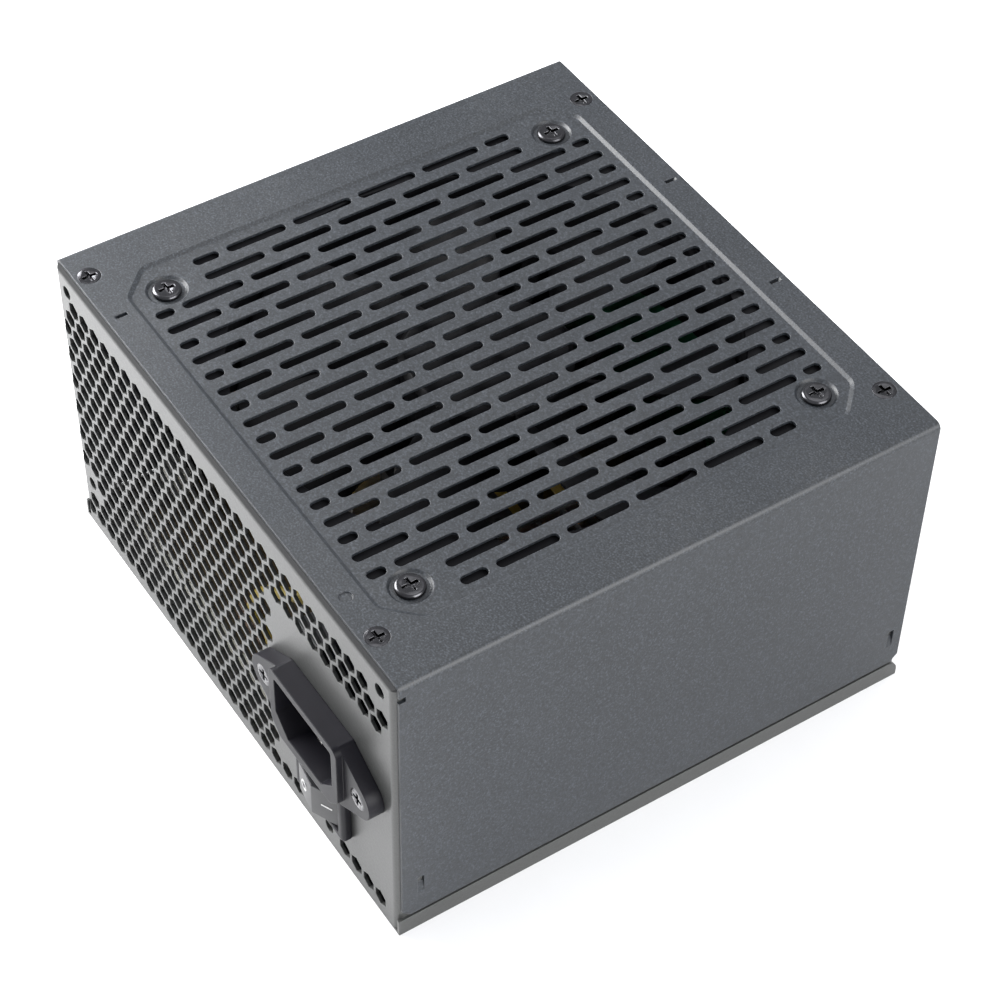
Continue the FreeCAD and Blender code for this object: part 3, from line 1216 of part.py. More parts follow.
def make_device_screws():
    screws = []
    for name, x, side in (("primary", S.primary_sink_x, -1), ("secondary", S.secondary_sink_x, 1)):
        for index in (-1, 0, 1):
            y = S.sink_y + S.device_pitch * float(index)
            outer = x + side * (S.sink_thick / 2 + S.device_thick)
            reach = S.device_thick + S.sink_thick
            stem = "device_screw_%s_%d" % (name, index)
            start = outer if side < 0 else outer - reach
            shank = rod(stem + "_shank", S.device_screw / 2, reach, (start, y, screw_height), "x")
            head_at = outer - S.device_screw_rise if side < 0 else outer
            head = rod(stem + "_head", S.device_screw_head / 2, S.device_screw_rise,
                       (head_at, y, screw_height), "x")
            screws.append(fuse(stem, [shank, head]))
    return piece("device_screws", group("device_screws", screws))


def make_transformer(label, width, core_depth, height, leg, side, yoke, x, y):
    """E-core pair with one winding on its middle leg."""
    core = block(label + "_block", (width, core_depth, height), (x, y, board_top))
    window = (width - leg - side * 2) / 2
    tall = height - yoke * 2
    windows = []
    for sign in (-1, 1):
        middle = x + sign * (leg / 2 + window / 2)
        windows.append(block("%s_window_%d" % (label, sign), (window, core_depth + 2.0, tall),
                             (middle, y, board_top + yoke)))
    piece(label + "_core", cut(label + "_core", core, windows))
    gap = S.winding_gap
    wound = (leg + (window - gap) * 2, core_depth + (window - gap) * 2, tall - gap * 2)
    blank = block(label + "_wound", wound, (x, y, board_top + yoke + gap))

    def corner(edge):
        return abs(edge.Vertexes[0].Z - edge.Vertexes[1].Z) > 1e-6

    soft = round_edges(label + "_soft", blank, window * 0.45, corner)
    hole = block(label + "_leg_hole", (leg, core_depth, tall), (x, y, board_top + yoke))
    piece(label + "_winding", cut(label + "_winding", soft, [hole]))


def make_choke(label, outer, inner, wide, at, upright_axis, arcs):
    """Toroid core with one or two windings that wrap part of it."""
    wrap = S.choke_wrap
    profile = [(inner, 0.0 * wide), (outer, 0.0 * wide), (outer, wide), (inner, wide)]
    core = revolved(label + "_ring", profile, (0.0, 0.0, 0.0))
    sleeves = []
    for index, (start, sweep) in enumerate(arcs):
        body = doc.addObject("PartDesign::Body", "%s_sleeve_%d" % (label, index))
        corners = [(inner - wrap, -wrap), (outer + wrap, -wrap), (outer + wrap, wide + wrap),
                   (inner - wrap, wide + wrap)]
        sketch = bound_profile(body, "%s_sleeve_profile_%d" % (label, index), "XZ_Plane", corners)
        turn = body.newObject("PartDesign::Revolution", "%s_sleeve_turn_%d" % (label, index))
        turn.Profile = sketch
        turn.ReferenceAxis = (plane_of(body, "Z_Axis"), [""])
        turn.Angle = float(sweep)
        body.Tip = turn
        spin = FreeCAD.Rotation(FreeCAD.Vector(0, 0, 1), start)
        body.Placement = FreeCAD.Placement(FreeCAD.Vector(0, 0, 0), spin)
        sleeves.append(body)
    winding = cut(label + "_wrap", group(label + "_sleeves", sleeves), [core])
    lift = board_top + wrap
    for suffix, target in (("core", core), ("winding", winding)):
        bundle = group("%s_%s" % (label, suffix), [target])
        if upright_axis:
            place(bundle, (at[0], at[1] + wide / 2, lift + outer), (1, 0, 0), 90.0)
        else:
            place(bundle, (at[0], at[1], lift))
        piece("%s_%s" % (label, suffix), bundle)


def can(name, radius, height, at):
    """Electrolytic can: crimped groove near its foot and a soft top edge."""
    groove, crimp, edge = S.can_groove, S.can_crimp, S.can_edge
    zero = 0.0 * radius
    return revolved(name, [
        (zero, zero), (radius, zero), (radius, crimp - groove), (radius - groove, crimp),
        (radius, crimp + groove), (radius, height - edge), (radius - edge, height), (zero, height),
    ], at)


# Places along X of the three disc capacitors in front of the honeycomb.
disc_row = (22.0, 8.0, -9.0)


def make_capacitors():
    bulk_at = (S.bulk_x, S.bulk_y, board_top)
    piece("bulk_capacitor", can("bulk_can", S.bulk_radius, S.bulk_height, bulk_at))
    cans = []
    rows = int(S.output_can_rows.value)
    for column in range(rows):
        for row in range(rows):
            stem = "output_can_%d_%d" % (column, row)
            at = (S.output_can_x + S.output_can_pitch * float(column),
                  S.output_can_y + S.output_can_pitch * float(row), board_top)
            cans.append(can(stem, S.output_can_radius, S.output_can_height, at))
    piece("output_capacitors", group("output_capacitors", cans))
    across = block("film_across", (S.film_length, S.film_width, S.film_height),
                   (S.film_across_x, S.film_across_y, board_top))
    along = block("film_along", (S.film_width, S.film_length, S.film_height),
                  (S.film_along_x, S.film_along_y, board_top))
    rounded = [
        round_edges("film_round_%d" % index, film, S.film_edge, lambda edge: True)
        for index, film in enumerate((across, along))
    ]
    piece("film_capacitors", group("film_capacitors", rounded))
    discs = []
    middle = board_top + S.disc_lift + S.disc_radius
    y = rear_face + S.board_rear + S.disc_rear
    leg = (S.disc_leg, S.disc_leg, S.disc_lift + S.disc_leg_reach)
    for index, x in enumerate(disc_row):
        stem = "disc_%d" % index
        round_body = rod(stem + "_body", S.disc_radius, S.disc_thick, (x, y, middle), "y")
        legs = [
            block("%s_leg_%d" % (stem, side), leg,
                  (x + side * S.disc_leg_spread, y + S.disc_thick / 2, board_top))
            for side in (-1, 1)
        ]
        discs.append(fuse(stem, [round_body] + legs))
    piece("disc_capacitors", group("disc_capacitors", discs))


def make_bridge_rectifier():
    """Flat package on edge with four legs in a row."""
    leg = (S.device_leg_thick, S.device_leg_wide, S.bridge_lift)
    body = block("bridge_body", (S.bridge_thick, S.bridge_width, S.bridge_height),
                 (S.bridge_x, S.bridge_y, board_top + S.bridge_lift))
    legs = []
    for step in (-1.5, -0.5, 0.5, 1.5):
        at = (S.bridge_x, S.bridge_y + S.bridge_leg_pitch * step, board_top)
        legs.append(block("bridge_leg_%d" % len(legs), leg, at))
    piece("bridge_rectifier", fuse("bridge_rectifier", [body] + legs))


def make_fuse():
    """Mains fuse with metal end caps, and the two spring clips it sits in."""
    y = S.fuse_y
    middle = board_top + S.fuse_lift + S.fuse_radius + S.fuse_glass_step
    start = S.fuse_x - S.fuse_length / 2
    glass = rod("fuse_glass", S.fuse_radius - S.fuse_glass_step, S.fuse_length, (start, y, middle), "x")
    cap_spots = (start, start + S.fuse_length - S.fuse_cap)
    caps = [
        rod("fuse_cap_%d" % index, S.fuse_radius, S.fuse_cap, (spot, y, middle), "x")
        for index, spot in enumerate(cap_spots)
    ]
    piece("mains_fuse", fuse("mains_fuse", [glass] + caps))
    wide, overrun = S.fuse_radius * 2 + S.clip_wall * 2, 0.5
    clips = []
    for index, spot in enumerate(cap_spots):
        centre = spot + S.fuse_cap / 2
        clip = block("clip_blank_%d" % index, (S.fuse_cap - overrun * 2, wide, S.fuse_radius * 2),
                     (centre, y, board_top))
        bore = rod("clip_bore_%d" % index, S.fuse_radius, S.fuse_cap + overrun * 2,
                   (spot - overrun, y, middle), "x")
        mouth_size = (S.fuse_cap + overrun * 2, S.fuse_radius * 1.2, S.fuse_radius * 3)
        mouth = block("clip_mouth_%d" % index, mouth_size, (centre, y, middle))
        clips.append(cut("fuse_clip_%d" % index, clip, [bore, mouth]))
    piece("fuse_clips", group("fuse_clips", clips))


# Chips of the control card: place along the card, height above the board, width, height.
card_chips = (
    (-9.0, 12.0, 8.0, 10.0),
    (5.0, 13.0, 10.0, 6.0),
    (9.0, 5.0, 5.0, 4.0),
)


def make_control_card():
    """Small upright board with its chips on one face."""
    piece("control_card", block("control_card_board", (S.card_thick, S.card_width, S.card_height),
                                (S.card_x, S.card_y, board_top)))
    chips = []
    for index, (along, up, wide, tall) in enumerate(card_chips):
        at = (S.card_x + S.card_thick / 2 + S.chip_thick / 2, S.card_y + along, board_top + up)
        chips.append(block("chip_%d" % index, (S.chip_thick, wide, tall), at))
    piece("control_chips", group("control_chips", chips))


# --------------------------------------------------------------------------
# Output board, sockets and leads
# --------------------------------------------------------------------------

socket_face = half_depth + S.socket_proud
socket_depth = socket_face - output_board_front


def make_output_board():
    height = fan_base - S.output_board_fan_gap - S.output_board_base
    plate = block("output_board_plate", (S.output_board_width, S.board_thick, height),
                  (0.0, output_board_front - S.board_thick / 2, S.output_board_base))
    return piece("output_board", plate)


def make_sockets():
    """Header blocks with one square pocket per contact, and all contact pins."""
    pins = []
    for label, row in socket_plan.items():
        blocks = []
        for index, (columns, cells, height) in enumerate(row):
            stem = "%s_%d" % (label, index)
            middle = S.socket_cell * cells
            extent = (socket_width(columns), socket_depth, socket_height)
            at = (middle, output_board_front + socket_depth / 2, height - socket_height / 2)
            body = block(stem + "_body", extent, at)
            pockets = []
            for column in range(columns):
                x = middle + S.socket_cell * (column - (columns - 1) / 2.0)
                for level in (-1, 1):
                    z = height + level * S.socket_cell / 2
                    name = "%s_%d_%d" % (stem, column, level)
                    side = S.socket_cell - S.socket_wall * 2
                    deep = socket_depth - S.socket_floor
                    pocket_at = (x, socket_face - deep / 2 + 0.5, z - side / 2)
                    pockets.append(block(name + "_pocket", (side, deep + 1.0, side), pocket_at))
                    reach = socket_depth - S.socket_pin_recess
                    pin_at = (x, output_board_front + reach / 2, z - S.socket_pin / 2)
                    pins.append(block(name + "_pin", (S.socket_pin, reach, S.socket_pin), pin_at))
                    pockets.append(block(name + "_bore", (S.socket_pin, reach, S.socket_pin), pin_at))
            blocks.append(cut(stem, body, [group(stem + "_pockets", pockets)]))
        piece(label, group(label, blocks))
    piece("socket_pins", group("socket_pins", pins))


def lead(name, points, radius):
    """Insulated lead along hand-placed points."""
    return formed(name, tube_path(points, radius))


def make_mains_leads():
    """Live lead from the inlet to the switch, and neutral lead from the inlet to the board."""
    tail, high = inlet_back + S.inlet_tail, S.inlet_z + S.inlet_pin_live
    left, right = S.inlet_x - S.inlet_pin_spread, S.inlet_x + S.inlet_pin_spread
    switch_end = rear_face + S.switch_body_depth + S.switch_tail
    switch_right = S.switch_x + S.switch_tail_spread
    neutral = lead("neutral_lead", [
        (left, tail, high), (left, tail + 4.0, high), (31.5, tail + 2.5, 34.0),
        (31.2, rear_face + 25.0, 22.0), (31.2, rear_face + 25.0, board_top),
    ], S.mains_lead_radius)
    live = lead("live_lead", [
        (right, tail, high), (right, tail + 4.0, high), (right - 0.5, tail + 3.6, 32.0),
        (switch_right, tail + 3.0, S.switch_z), (switch_right, switch_end, S.switch_z),
    ], S.mains_lead_radius)
    piece("mains_leads", group("mains_leads", [neutral, live]))


def make_earth_lead():
    """Lead from the inlet's earth tail, up and along under the fan, then down to the board."""
    tail, low = inlet_back + S.inlet_tail, S.inlet_z - S.inlet_pin_earth
    top = fan_base - S.lead_fan_gap - S.earth_lead_radius
    route = lead("earth_route", [
        (S.inlet_x, tail, low), (S.inlet_x, tail + 4.0, low), (41.0, rear_face + 27.0, top - 6.5),
        (31.0, rear_face + 16.0, top - 1.0), (20.0, rear_face + 8.0, top), (8.0, rear_face + 5.5, 48.0),
        (1.0, rear_face + 6.0, 34.0), (-1.0, rear_face + 12.0, 20.0), (-1.0, rear_face + 12.0, board_top),
    ], S.earth_lead_radius)
    piece("earth_lead", group("earth_lead", [route]))


def make_output_leads():
    """Short leads from the front of the main board up to the output board."""
    leads = []
    for index in range(int(S.output_lead_count.value)):
        x = S.output_lead_first + S.output_lead_pitch * float(index)
        y, goal_x, goal_z = S.output_lead_board, x + S.output_lead_shift, 26.0 + 6.0 * (index % 2)
        leads.append(lead("output_lead_%d" % index, [
            (x, y, board_top), (x, y, 16.0), (goal_x, y + 3.5, goal_z),
            (goal_x, output_board_front - S.board_thick, goal_z),
        ], S.output_lead_radius))
    piece("output_leads", group("output_leads", leads))


def make_fan_lead():
    """Lead from the fan's motor base to its plug on the main board."""
    plug_x, plug_y = S.fan_plug_x, rear_face + S.fan_plug_rear
    motor_z = fan_base + S.motor_base_thick / 2
    route = lead("fan_route", [
        (-S.motor_base_radius, 0.0, motor_z), (-28.0, 0.0, motor_z), (-36.0, -1.0, fan_base - 1.0),
        (-50.0, -8.0, fan_base - 2.4), (-61.0, -26.0, 50.0), (-64.5, -44.0, 36.0),
        (plug_x, plug_y, 22.0), (plug_x, plug_y, board_top + S.fan_plug_height),
    ], S.fan_lead_radius)
    piece("fan_lead", group("fan_lead", [route]))
    piece("fan_plug", block("fan_plug_block", (S.fan_plug_width, S.fan_plug_depth, S.fan_plug_height),
                            (plug_x, plug_y, board_top)))


make_base_tray()
make_top_cover()
make_cover_screws()
make_inlet()
make_inlet_fasteners()
make_switch_housing()
make_rocker()
make_switch_terminals()
make_fan_frame()
make_fan_motor()
make_impeller()
make_fan_screws()
make_board()
make_heatsink("primary_heatsink", S.primary_sink_x, 1)
make_heatsink("secondary_heatsink", S.secondary_sink_x, -1)
make_power_devices("switching_transistors", S.primary_sink_x, -1)
make_power_devices("output_rectifiers", S.secondary_sink_x, 1)
make_device_screws()
make_transformer("main_transformer", S.trafo_width, S.trafo_core_depth, S.trafo_height, S.trafo_leg,
                 S.trafo_side, S.trafo_yoke, 0.0, S.trafo_y)
make_transformer("standby_transformer", S.standby_width, S.standby_core_depth, S.standby_height,
                 S.standby_leg, S.standby_side, S.standby_yoke, 0.0, S.standby_y)
make_choke("filter_choke", S.filter_choke_outer, S.filter_choke_inner, S.filter_choke_wide,
           (S.filter_choke_x, S.filter_choke_y), True, [(15, 150), (195, 150)])
make_choke("boost_choke", S.boost_choke_outer, S.boost_choke_inner, S.boost_choke_wide,
           (S.boost_choke_x, S.boost_choke_y), False, [(10, 340)])
make_choke("output_choke", S.output_choke_outer, S.output_choke_inner, S.output_choke_wide,
           (S.output_choke_x, S.output_choke_y), False, [(10, 340)])
make_capacitors()
make_bridge_rectifier()
make_fuse()
make_control_card()
make_output_board()
make_sockets()
make_mains_leads()
make_earth_lead()
make_output_leads()
make_fan_lead()


# --------------------------------------------------------------------------
# Check every object, then write each sub-part
# --------------------------------------------------------------------------

doc.recompute()
failed = [o.Name for o in doc.Objects if "Invalid" in o.State or "Error" in o.State]
if failed:
    raise RuntimeError("objects that did not compute: " + ", ".join(failed))
for target in pieces:
    if target.Shape.isNull() or not target.Shape.isValid() or not target.Shape.Solids:
        raise RuntimeError("sub-part without a valid solid: " + target.Label)

os.makedirs("parts", exist_ok=True)
for target in pieces:
    target.Shape.exportStep(os.path.join("parts", target.Label + ".step"))
    box = target.Shape.BoundBox
    print("%-22s solids %3d  volume %10.1f  x %7.2f %7.2f  y %7.2f %7.2f  z %6.2f %6.2f" % (
        target.Label, len(target.Shape.Solids), target.Shape.Volume,
        box.XMin, box.XMax, box.YMin, box.YMax, box.ZMin, box.ZMax))
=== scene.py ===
"""Looks of a computer power supply: painted steel case, fan, mains inlet, switch and what is inside.

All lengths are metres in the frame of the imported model: +Z up, +Y from the rear panel to the
front wall, +X to the right for someone who looks at the rear panel.
"""
import logging
import math
from dataclasses import dataclass, field
from enum import Enum
from typing import Optional, Sequence

import bmesh
import bpy
from mathutils import Matrix, Vector


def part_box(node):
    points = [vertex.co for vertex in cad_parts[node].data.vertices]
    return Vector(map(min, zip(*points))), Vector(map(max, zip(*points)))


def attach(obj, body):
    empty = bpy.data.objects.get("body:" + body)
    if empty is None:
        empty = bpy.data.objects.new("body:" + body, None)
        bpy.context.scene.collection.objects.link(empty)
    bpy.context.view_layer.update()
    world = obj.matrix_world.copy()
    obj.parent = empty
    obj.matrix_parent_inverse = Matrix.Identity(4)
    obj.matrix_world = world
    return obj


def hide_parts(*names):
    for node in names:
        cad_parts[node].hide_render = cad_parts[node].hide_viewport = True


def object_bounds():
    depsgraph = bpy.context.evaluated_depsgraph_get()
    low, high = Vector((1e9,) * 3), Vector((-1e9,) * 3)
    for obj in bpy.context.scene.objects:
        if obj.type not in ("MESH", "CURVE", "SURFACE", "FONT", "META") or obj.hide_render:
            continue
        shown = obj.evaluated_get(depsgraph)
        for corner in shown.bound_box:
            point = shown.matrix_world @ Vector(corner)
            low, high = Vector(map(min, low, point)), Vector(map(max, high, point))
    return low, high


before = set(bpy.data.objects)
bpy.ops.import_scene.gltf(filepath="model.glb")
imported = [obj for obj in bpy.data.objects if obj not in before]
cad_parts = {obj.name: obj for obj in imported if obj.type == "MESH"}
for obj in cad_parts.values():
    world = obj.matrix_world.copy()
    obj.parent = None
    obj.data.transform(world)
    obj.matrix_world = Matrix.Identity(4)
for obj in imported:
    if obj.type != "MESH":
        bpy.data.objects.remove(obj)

LOG = logging.getLogger("power_supply")
MM = 0.001
CAD_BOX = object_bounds()
Colour = tuple[float, float, float]


class Body(str, Enum):
    """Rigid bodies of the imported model."""

    CASE = "root"
    ROTOR = "fan_rotor"
    ROCKER = "rocker"


# ---------------------------------------------------------------------------
# Shared shader effects
# ---------------------------------------------------------------------------


class NodeGroup:
    """A shader node group with named sockets, built once and placed in many materials."""

    name = ""
    inputs: Sequence[tuple[str, str, object]] = ()
    outputs: Sequence[tuple[str, str]] = ()

    def __init__(self) -> None:
        """Make the group's tree, its sockets and its nodes."""
        self.tree = bpy.data.node_groups.new(self.name, "ShaderNodeTree")
        for label, kind, default in self.inputs:
            socket = self.tree.interface.new_socket(label, in_out="INPUT", socket_type=kind)
            socket.default_value = default
        for label, kind in self.outputs:
            self.tree.interface.new_socket(label, in_out="OUTPUT", socket_type=kind)
        self.entry = self.tree.nodes.new("NodeGroupInput")
        self.exit = self.tree.nodes.new("NodeGroupOutput")
        self.wire()

    def wire(self) -> None:
        """Add the nodes between the group's inputs and outputs."""
        raise NotImplementedError

    def node(self, kind: str, **settings: object) -> bpy.types.Node:
        """Add one node.

        Args:
            kind: Blender's name of the node type.
            settings: Properties of the node.

        Returns:
            The new node.
        """
        made = self.tree.nodes.new(kind)
        for key, value in settings.items():
            setattr(made, key, value)
        return made

    def link(self, source: bpy.types.NodeSocket, target: bpy.types.NodeSocket) -> None:
        """Join an output to an input."""
        self.tree.links.new(source, target)

    def noise(self, scale: object, detail: float, vector: bpy.types.NodeSocket) -> bpy.types.Node:
        """Add a noise texture.

        Args:
            scale: A number, or the socket that drives the scale.
            detail: Octaves of finer noise.
            vector: Where the texture is read.

        Returns:
            The noise node.
        """
        made = self.node("ShaderNodeTexNoise")
        made.inputs["Detail"].default_value = detail
        if isinstance(scale, (int, float)):
            made.inputs["Scale"].default_value = scale
        else:
            self.link(scale, made.inputs["Scale"])
        self.link(vector, made.inputs["Vector"])
        return made

    def ramp(self, source: bpy.types.NodeSocket, low: object, high: object,
             to_low: object = 0.0, to_high: object = 1.0) -> bpy.types.NodeSocket:
        """Map one range of a value onto another, clamped.

        Args:
            source: The value.
            low: Number or socket that becomes to_low.
            high: Number or socket that becomes to_high.
            to_low: Result at low.
            to_high: Result at high.

        Returns:
            The mapped value's socket.
        """
        made = self.node("ShaderNodeMapRange", clamp=True)
        self.link(source, made.inputs["Value"])
        for label, value in (("From Min", low), ("From Max", high), ("To Min", to_low), ("To Max", to_high)):
            if isinstance(value, (int, float)):
                made.inputs[label].default_value = value
            else:
                self.link(value, made.inputs[label])
        return made.outputs["Result"]

    def math(self, operation: str, *values: object) -> bpy.types.NodeSocket:
        """Combine values with one arithmetic step.

        Args:
            operation: Blender's name of the step.
            values: Numbers or sockets.

        Returns:
            The result's socket.
        """
        made = self.node("ShaderNodeMath", operation=operation)
        for index, value in enumerate(values):
            if isinstance(value, (int, float)):
                made.inputs[index].default_value = value
            else:
                self.link(value, made.inputs[index])
        return made.outputs[0]

    def mix(self, factor: bpy.types.NodeSocket, first: bpy.types.NodeSocket,
            second: bpy.types.NodeSocket) -> bpy.types.NodeSocket:
        """Blend two colours.

        Args:
            factor: 0 gives first and 1 gives second.
            first: A colour socket.
            second: A colour socket.

        Returns:
            The blended colour's socket.
        """
        made = self.node("ShaderNodeMix", data_type="RGBA")
        self.link(factor, made.inputs["Factor"])
        self.link(first, made.inputs[6])
        self.link(second, made.inputs[7])
        return made.outputs[2]

    def swing(self, noise: bpy.types.NodeSocket, amount: float,
              around: bpy.types.NodeSocket) -> bpy.types.NodeSocket:
        """Let a value wander with noise.

        Args:
            noise: Noise from 0 to 1.
            amount: How far the value wanders from one end of the noise to the other.
            around: The value in the middle.

        Returns:
            The wandering value's socket.
        """
        return self.math("MULTIPLY_ADD", self.math("SUBTRACT", noise, 0.5), amount, around)

    def place(self) -> bpy.types.NodeSocket:
        """Object coordinates, which move with the piece."""
        return self.node("ShaderNodeTexCoord").outputs["Object"]


class PowderGrain(NodeGroup):
    """Speckled, slightly pebbled skin of baked powder paint."""

    name = "powder_grain"
    inputs = (
        ("Base Colour", "NodeSocketColor", (0.1, 0.1, 0.1, 1.0)),
        ("Fleck Colour", "NodeSocketColor", (0.2, 0.2, 0.2, 1.0)),
        ("Pit Colour", "NodeSocketColor", (0.05, 0.05, 0.05, 1.0)),
        ("Grain Scale", "NodeSocketFloat", 2600.0),
        ("Fleck Share", "NodeSocketFloat", 0.5),
        ("Roughness", "NodeSocketFloat", 0.5),
        ("Pebble Height", "NodeSocketFloat", 1.0),
    )
    outputs = (("Colour", "NodeSocketColor"), ("Roughness", "NodeSocketFloat"), ("Height", "NodeSocketFloat"))
    fleck_band = (0.52, 0.74)
    pit_band = (0.46, 0.28)
    drift_scale = 18.0
    drift_band = (0.35, 0.70)
    drift_share = 0.10
    pebble_scale = 0.45
    pebble_share = 0.7
    gloss_swing = 0.25

    def wire(self) -> None:
        """Flecks from fine noise, pits from its low end, and a soft tonal drift."""
        place = self.place()
        entry = self.entry.outputs
        fine = self.noise(entry["Grain Scale"], 2.0, place).outputs["Fac"]
        drift = self.noise(self.drift_scale, 2.0, place).outputs["Fac"]
        coarse = self.math("MULTIPLY", entry["Grain Scale"], self.pebble_scale)
        pebble = self.noise(coarse, 1.0, place).outputs["Fac"]
        fleck = self.math("MULTIPLY", self.ramp(fine, *self.fleck_band), entry["Fleck Share"])
        pit = self.math("MULTIPLY", self.ramp(fine, *self.pit_band), entry["Fleck Share"])
        tone = self.ramp(drift, *self.drift_band, 0.0, self.drift_share)
        toned = self.mix(tone, entry["Base Colour"], entry["Fleck Colour"])
        pitted = self.mix(pit, toned, entry["Pit Colour"])
        self.link(self.mix(fleck, pitted, entry["Fleck Colour"]), self.exit.inputs["Colour"])
        self.link(self.swing(fine, self.gloss_swing, entry["Roughness"]), self.exit.inputs["Roughness"])
        joined = self.math("ADD", self.math("MULTIPLY", pebble, self.pebble_share),
                           self.math("MULTIPLY", fine, 1.0 - self.pebble_share))
        self.link(self.math("MULTIPLY", joined, entry["Pebble Height"]), self.exit.inputs["Height"])


class EdgePaintedHighlight(NodeGroup):
    """Painted highlight: lightens the corners of a piece towards a paler colour, as if they caught the light.
    """

    name = "edge_painted_highlight"
    inputs = (
        ("Base Colour", "NodeSocketColor", (0.1, 0.1, 0.1, 1.0)),
        ("Worn Colour", "NodeSocketColor", (0.3, 0.3, 0.3, 1.0)),
        ("Reach", "NodeSocketFloat", 0.4 * MM),
        ("Strength", "NodeSocketFloat", 0.5),
    )
    outputs = (("Colour", "NodeSocketColor"),)

    corner_band = (0.995, 0.86)
    patch_scale = 420.0
    patch_band = (0.35, 0.65)
    patch_least = 0.35

    def wire(self) -> None:
        """Compare the rounded normal with the true one and break it up with noise."""
        entry = self.entry.outputs
        bevel = self.node("ShaderNodeBevel", samples=4)
        self.link(entry["Reach"], bevel.inputs["Radius"])
        normal = self.node("ShaderNodeNewGeometry").outputs["Normal"]
        dot = self.node("ShaderNodeVectorMath", operation="DOT_PRODUCT")
        self.link(bevel.outputs["Normal"], dot.inputs[0])
        self.link(normal, dot.inputs[1])
        corner = self.ramp(dot.outputs["Value"], *self.corner_band)
        patchy = self.noise(self.patch_scale, 3.0, self.place()).outputs["Fac"]
        patch = self.ramp(patchy, *self.patch_band, self.patch_least, 1.0)
        # Painted highlight: the mask blends the corners towards the highlight colour.
        mask = self.math("MULTIPLY", self.math("MULTIPLY", corner, patch), entry["Strength"])
        self.link(self.mix(mask, entry["Base Colour"], entry["Worn Colour"]), self.exit.inputs["Colour"])


class FoldPaintedShade(NodeGroup):
    """Painted shade: darkens and dulls the paint along a fold at the top of a wall, for the dark band where
    the cover meets the rear wall.
    """

    name = "fold_painted_shade"
    inputs = (
        ("Base Colour", "NodeSocketColor", (0.1, 0.1, 0.1, 1.0)),
        ("Shade Colour", "NodeSocketColor", (0.01, 0.01, 0.011, 1.0)),
        ("Roughness", "NodeSocketFloat", 0.4),
        ("Dull Roughness", "NodeSocketFloat", 0.85),
        ("Fold Height", "NodeSocketFloat", 1.0),
    )
    outputs = (("Colour", "NodeSocketColor"), ("Roughness", "NodeSocketFloat"))

    blur = 0.2 * MM

    def wire(self) -> None:
        """Everything above the fold's height takes the painted shade colour and the dull roughness."""
        entry = self.entry.outputs
        split = self.node("ShaderNodeSeparateXYZ")
        self.link(self.place(), split.inputs[0])
        above = self.math("SUBTRACT", split.outputs["Z"], entry["Fold Height"])
        mask = self.ramp(above, -self.blur, self.blur)
        self.link(self.mix(mask, entry["Base Colour"], entry["Shade Colour"]), self.exit.inputs["Colour"])
        self.link(self.ramp(mask, 0.0, 1.0, entry["Roughness"], entry["Dull Roughness"]),
                  self.exit.inputs["Roughness"])


class FineDust(NodeGroup):
    """A thin, uneven veil of dust on faces that look up."""

    name = "fine_dust"
    inputs = (
        ("Base Colour", "NodeSocketColor", (0.1, 0.1, 0.1, 1.0)),
        ("Dust Colour", "NodeSocketColor", (0.4, 0.39, 0.37, 1.0)),
        ("Amount", "NodeSocketFloat", 0.1),
    )
    outputs = (("Colour", "NodeSocketColor"),)

    upward_band = (0.3, 0.95)
    broad_scale = 30.0
    broad_band = (0.4, 0.7)
    fine_scale = 900.0
    fine_band = (0.45, 0.6)
    fine_least = 0.4

    def wire(self) -> None:
        """Upward share of the normal times broad and fine noise."""
        entry = self.entry.outputs
        place = self.place()
        split = self.node("ShaderNodeSeparateXYZ")
        self.link(self.node("ShaderNodeNewGeometry").outputs["Normal"], split.inputs[0])
        upward = self.ramp(split.outputs["Z"], *self.upward_band)
        broad = self.ramp(self.noise(self.broad_scale, 4.0, place).outputs["Fac"], *self.broad_band)
        speck = self.noise(self.fine_scale, 2.0, place).outputs["Fac"]
        fine = self.ramp(speck, *self.fine_band, self.fine_least, 1.0)
        cover = self.math("MULTIPLY", self.math("MULTIPLY", broad, fine), upward)
        mask = self.math("MULTIPLY", cover, entry["Amount"])
        self.link(self.mix(mask, entry["Base Colour"], entry["Dust Colour"]), self.exit.inputs["Colour"])


class MouldedSkin(NodeGroup):
    """Faint clouding and fine texture of moulded plastic, film, ferrite or varnish."""

    name = "moulded_skin"
    inputs = (
        ("Base Colour", "NodeSocketColor", (0.1, 0.1, 0.1, 1.0)),
        ("Cloud Colour", "NodeSocketColor", (0.14, 0.14, 0.14, 1.0)),
        ("Cloud Scale", "NodeSocketFloat", 90.0),
        ("Texture Scale", "NodeSocketFloat", 2400.0),
        ("Roughness", "NodeSocketFloat", 0.5),
        ("Texture Height", "NodeSocketFloat", 1.0),
    )
    outputs = (("Colour", "NodeSocketColor"), ("Roughness", "NodeSocketFloat"), ("Height", "NodeSocketFloat"))

    cloud_band = (0.3, 0.75)
    gloss_swing = 0.2

    def wire(self) -> None:
        """Broad noise for colour and gloss, fine noise for height."""
        entry = self.entry.outputs
        place = self.place()
        cloud = self.noise(entry["Cloud Scale"], 3.0, place).outputs["Fac"]
        fine = self.noise(entry["Texture Scale"], 1.0, place).outputs["Fac"]
        clouded = self.mix(self.ramp(cloud, *self.cloud_band), entry["Base Colour"], entry["Cloud Colour"])
        self.link(clouded, self.exit.inputs["Colour"])
        self.link(self.swing(cloud, self.gloss_swing, entry["Roughness"]), self.exit.inputs["Roughness"])
        self.link(self.math("MULTIPLY", fine, entry["Texture Height"]), self.exit.inputs["Height"])


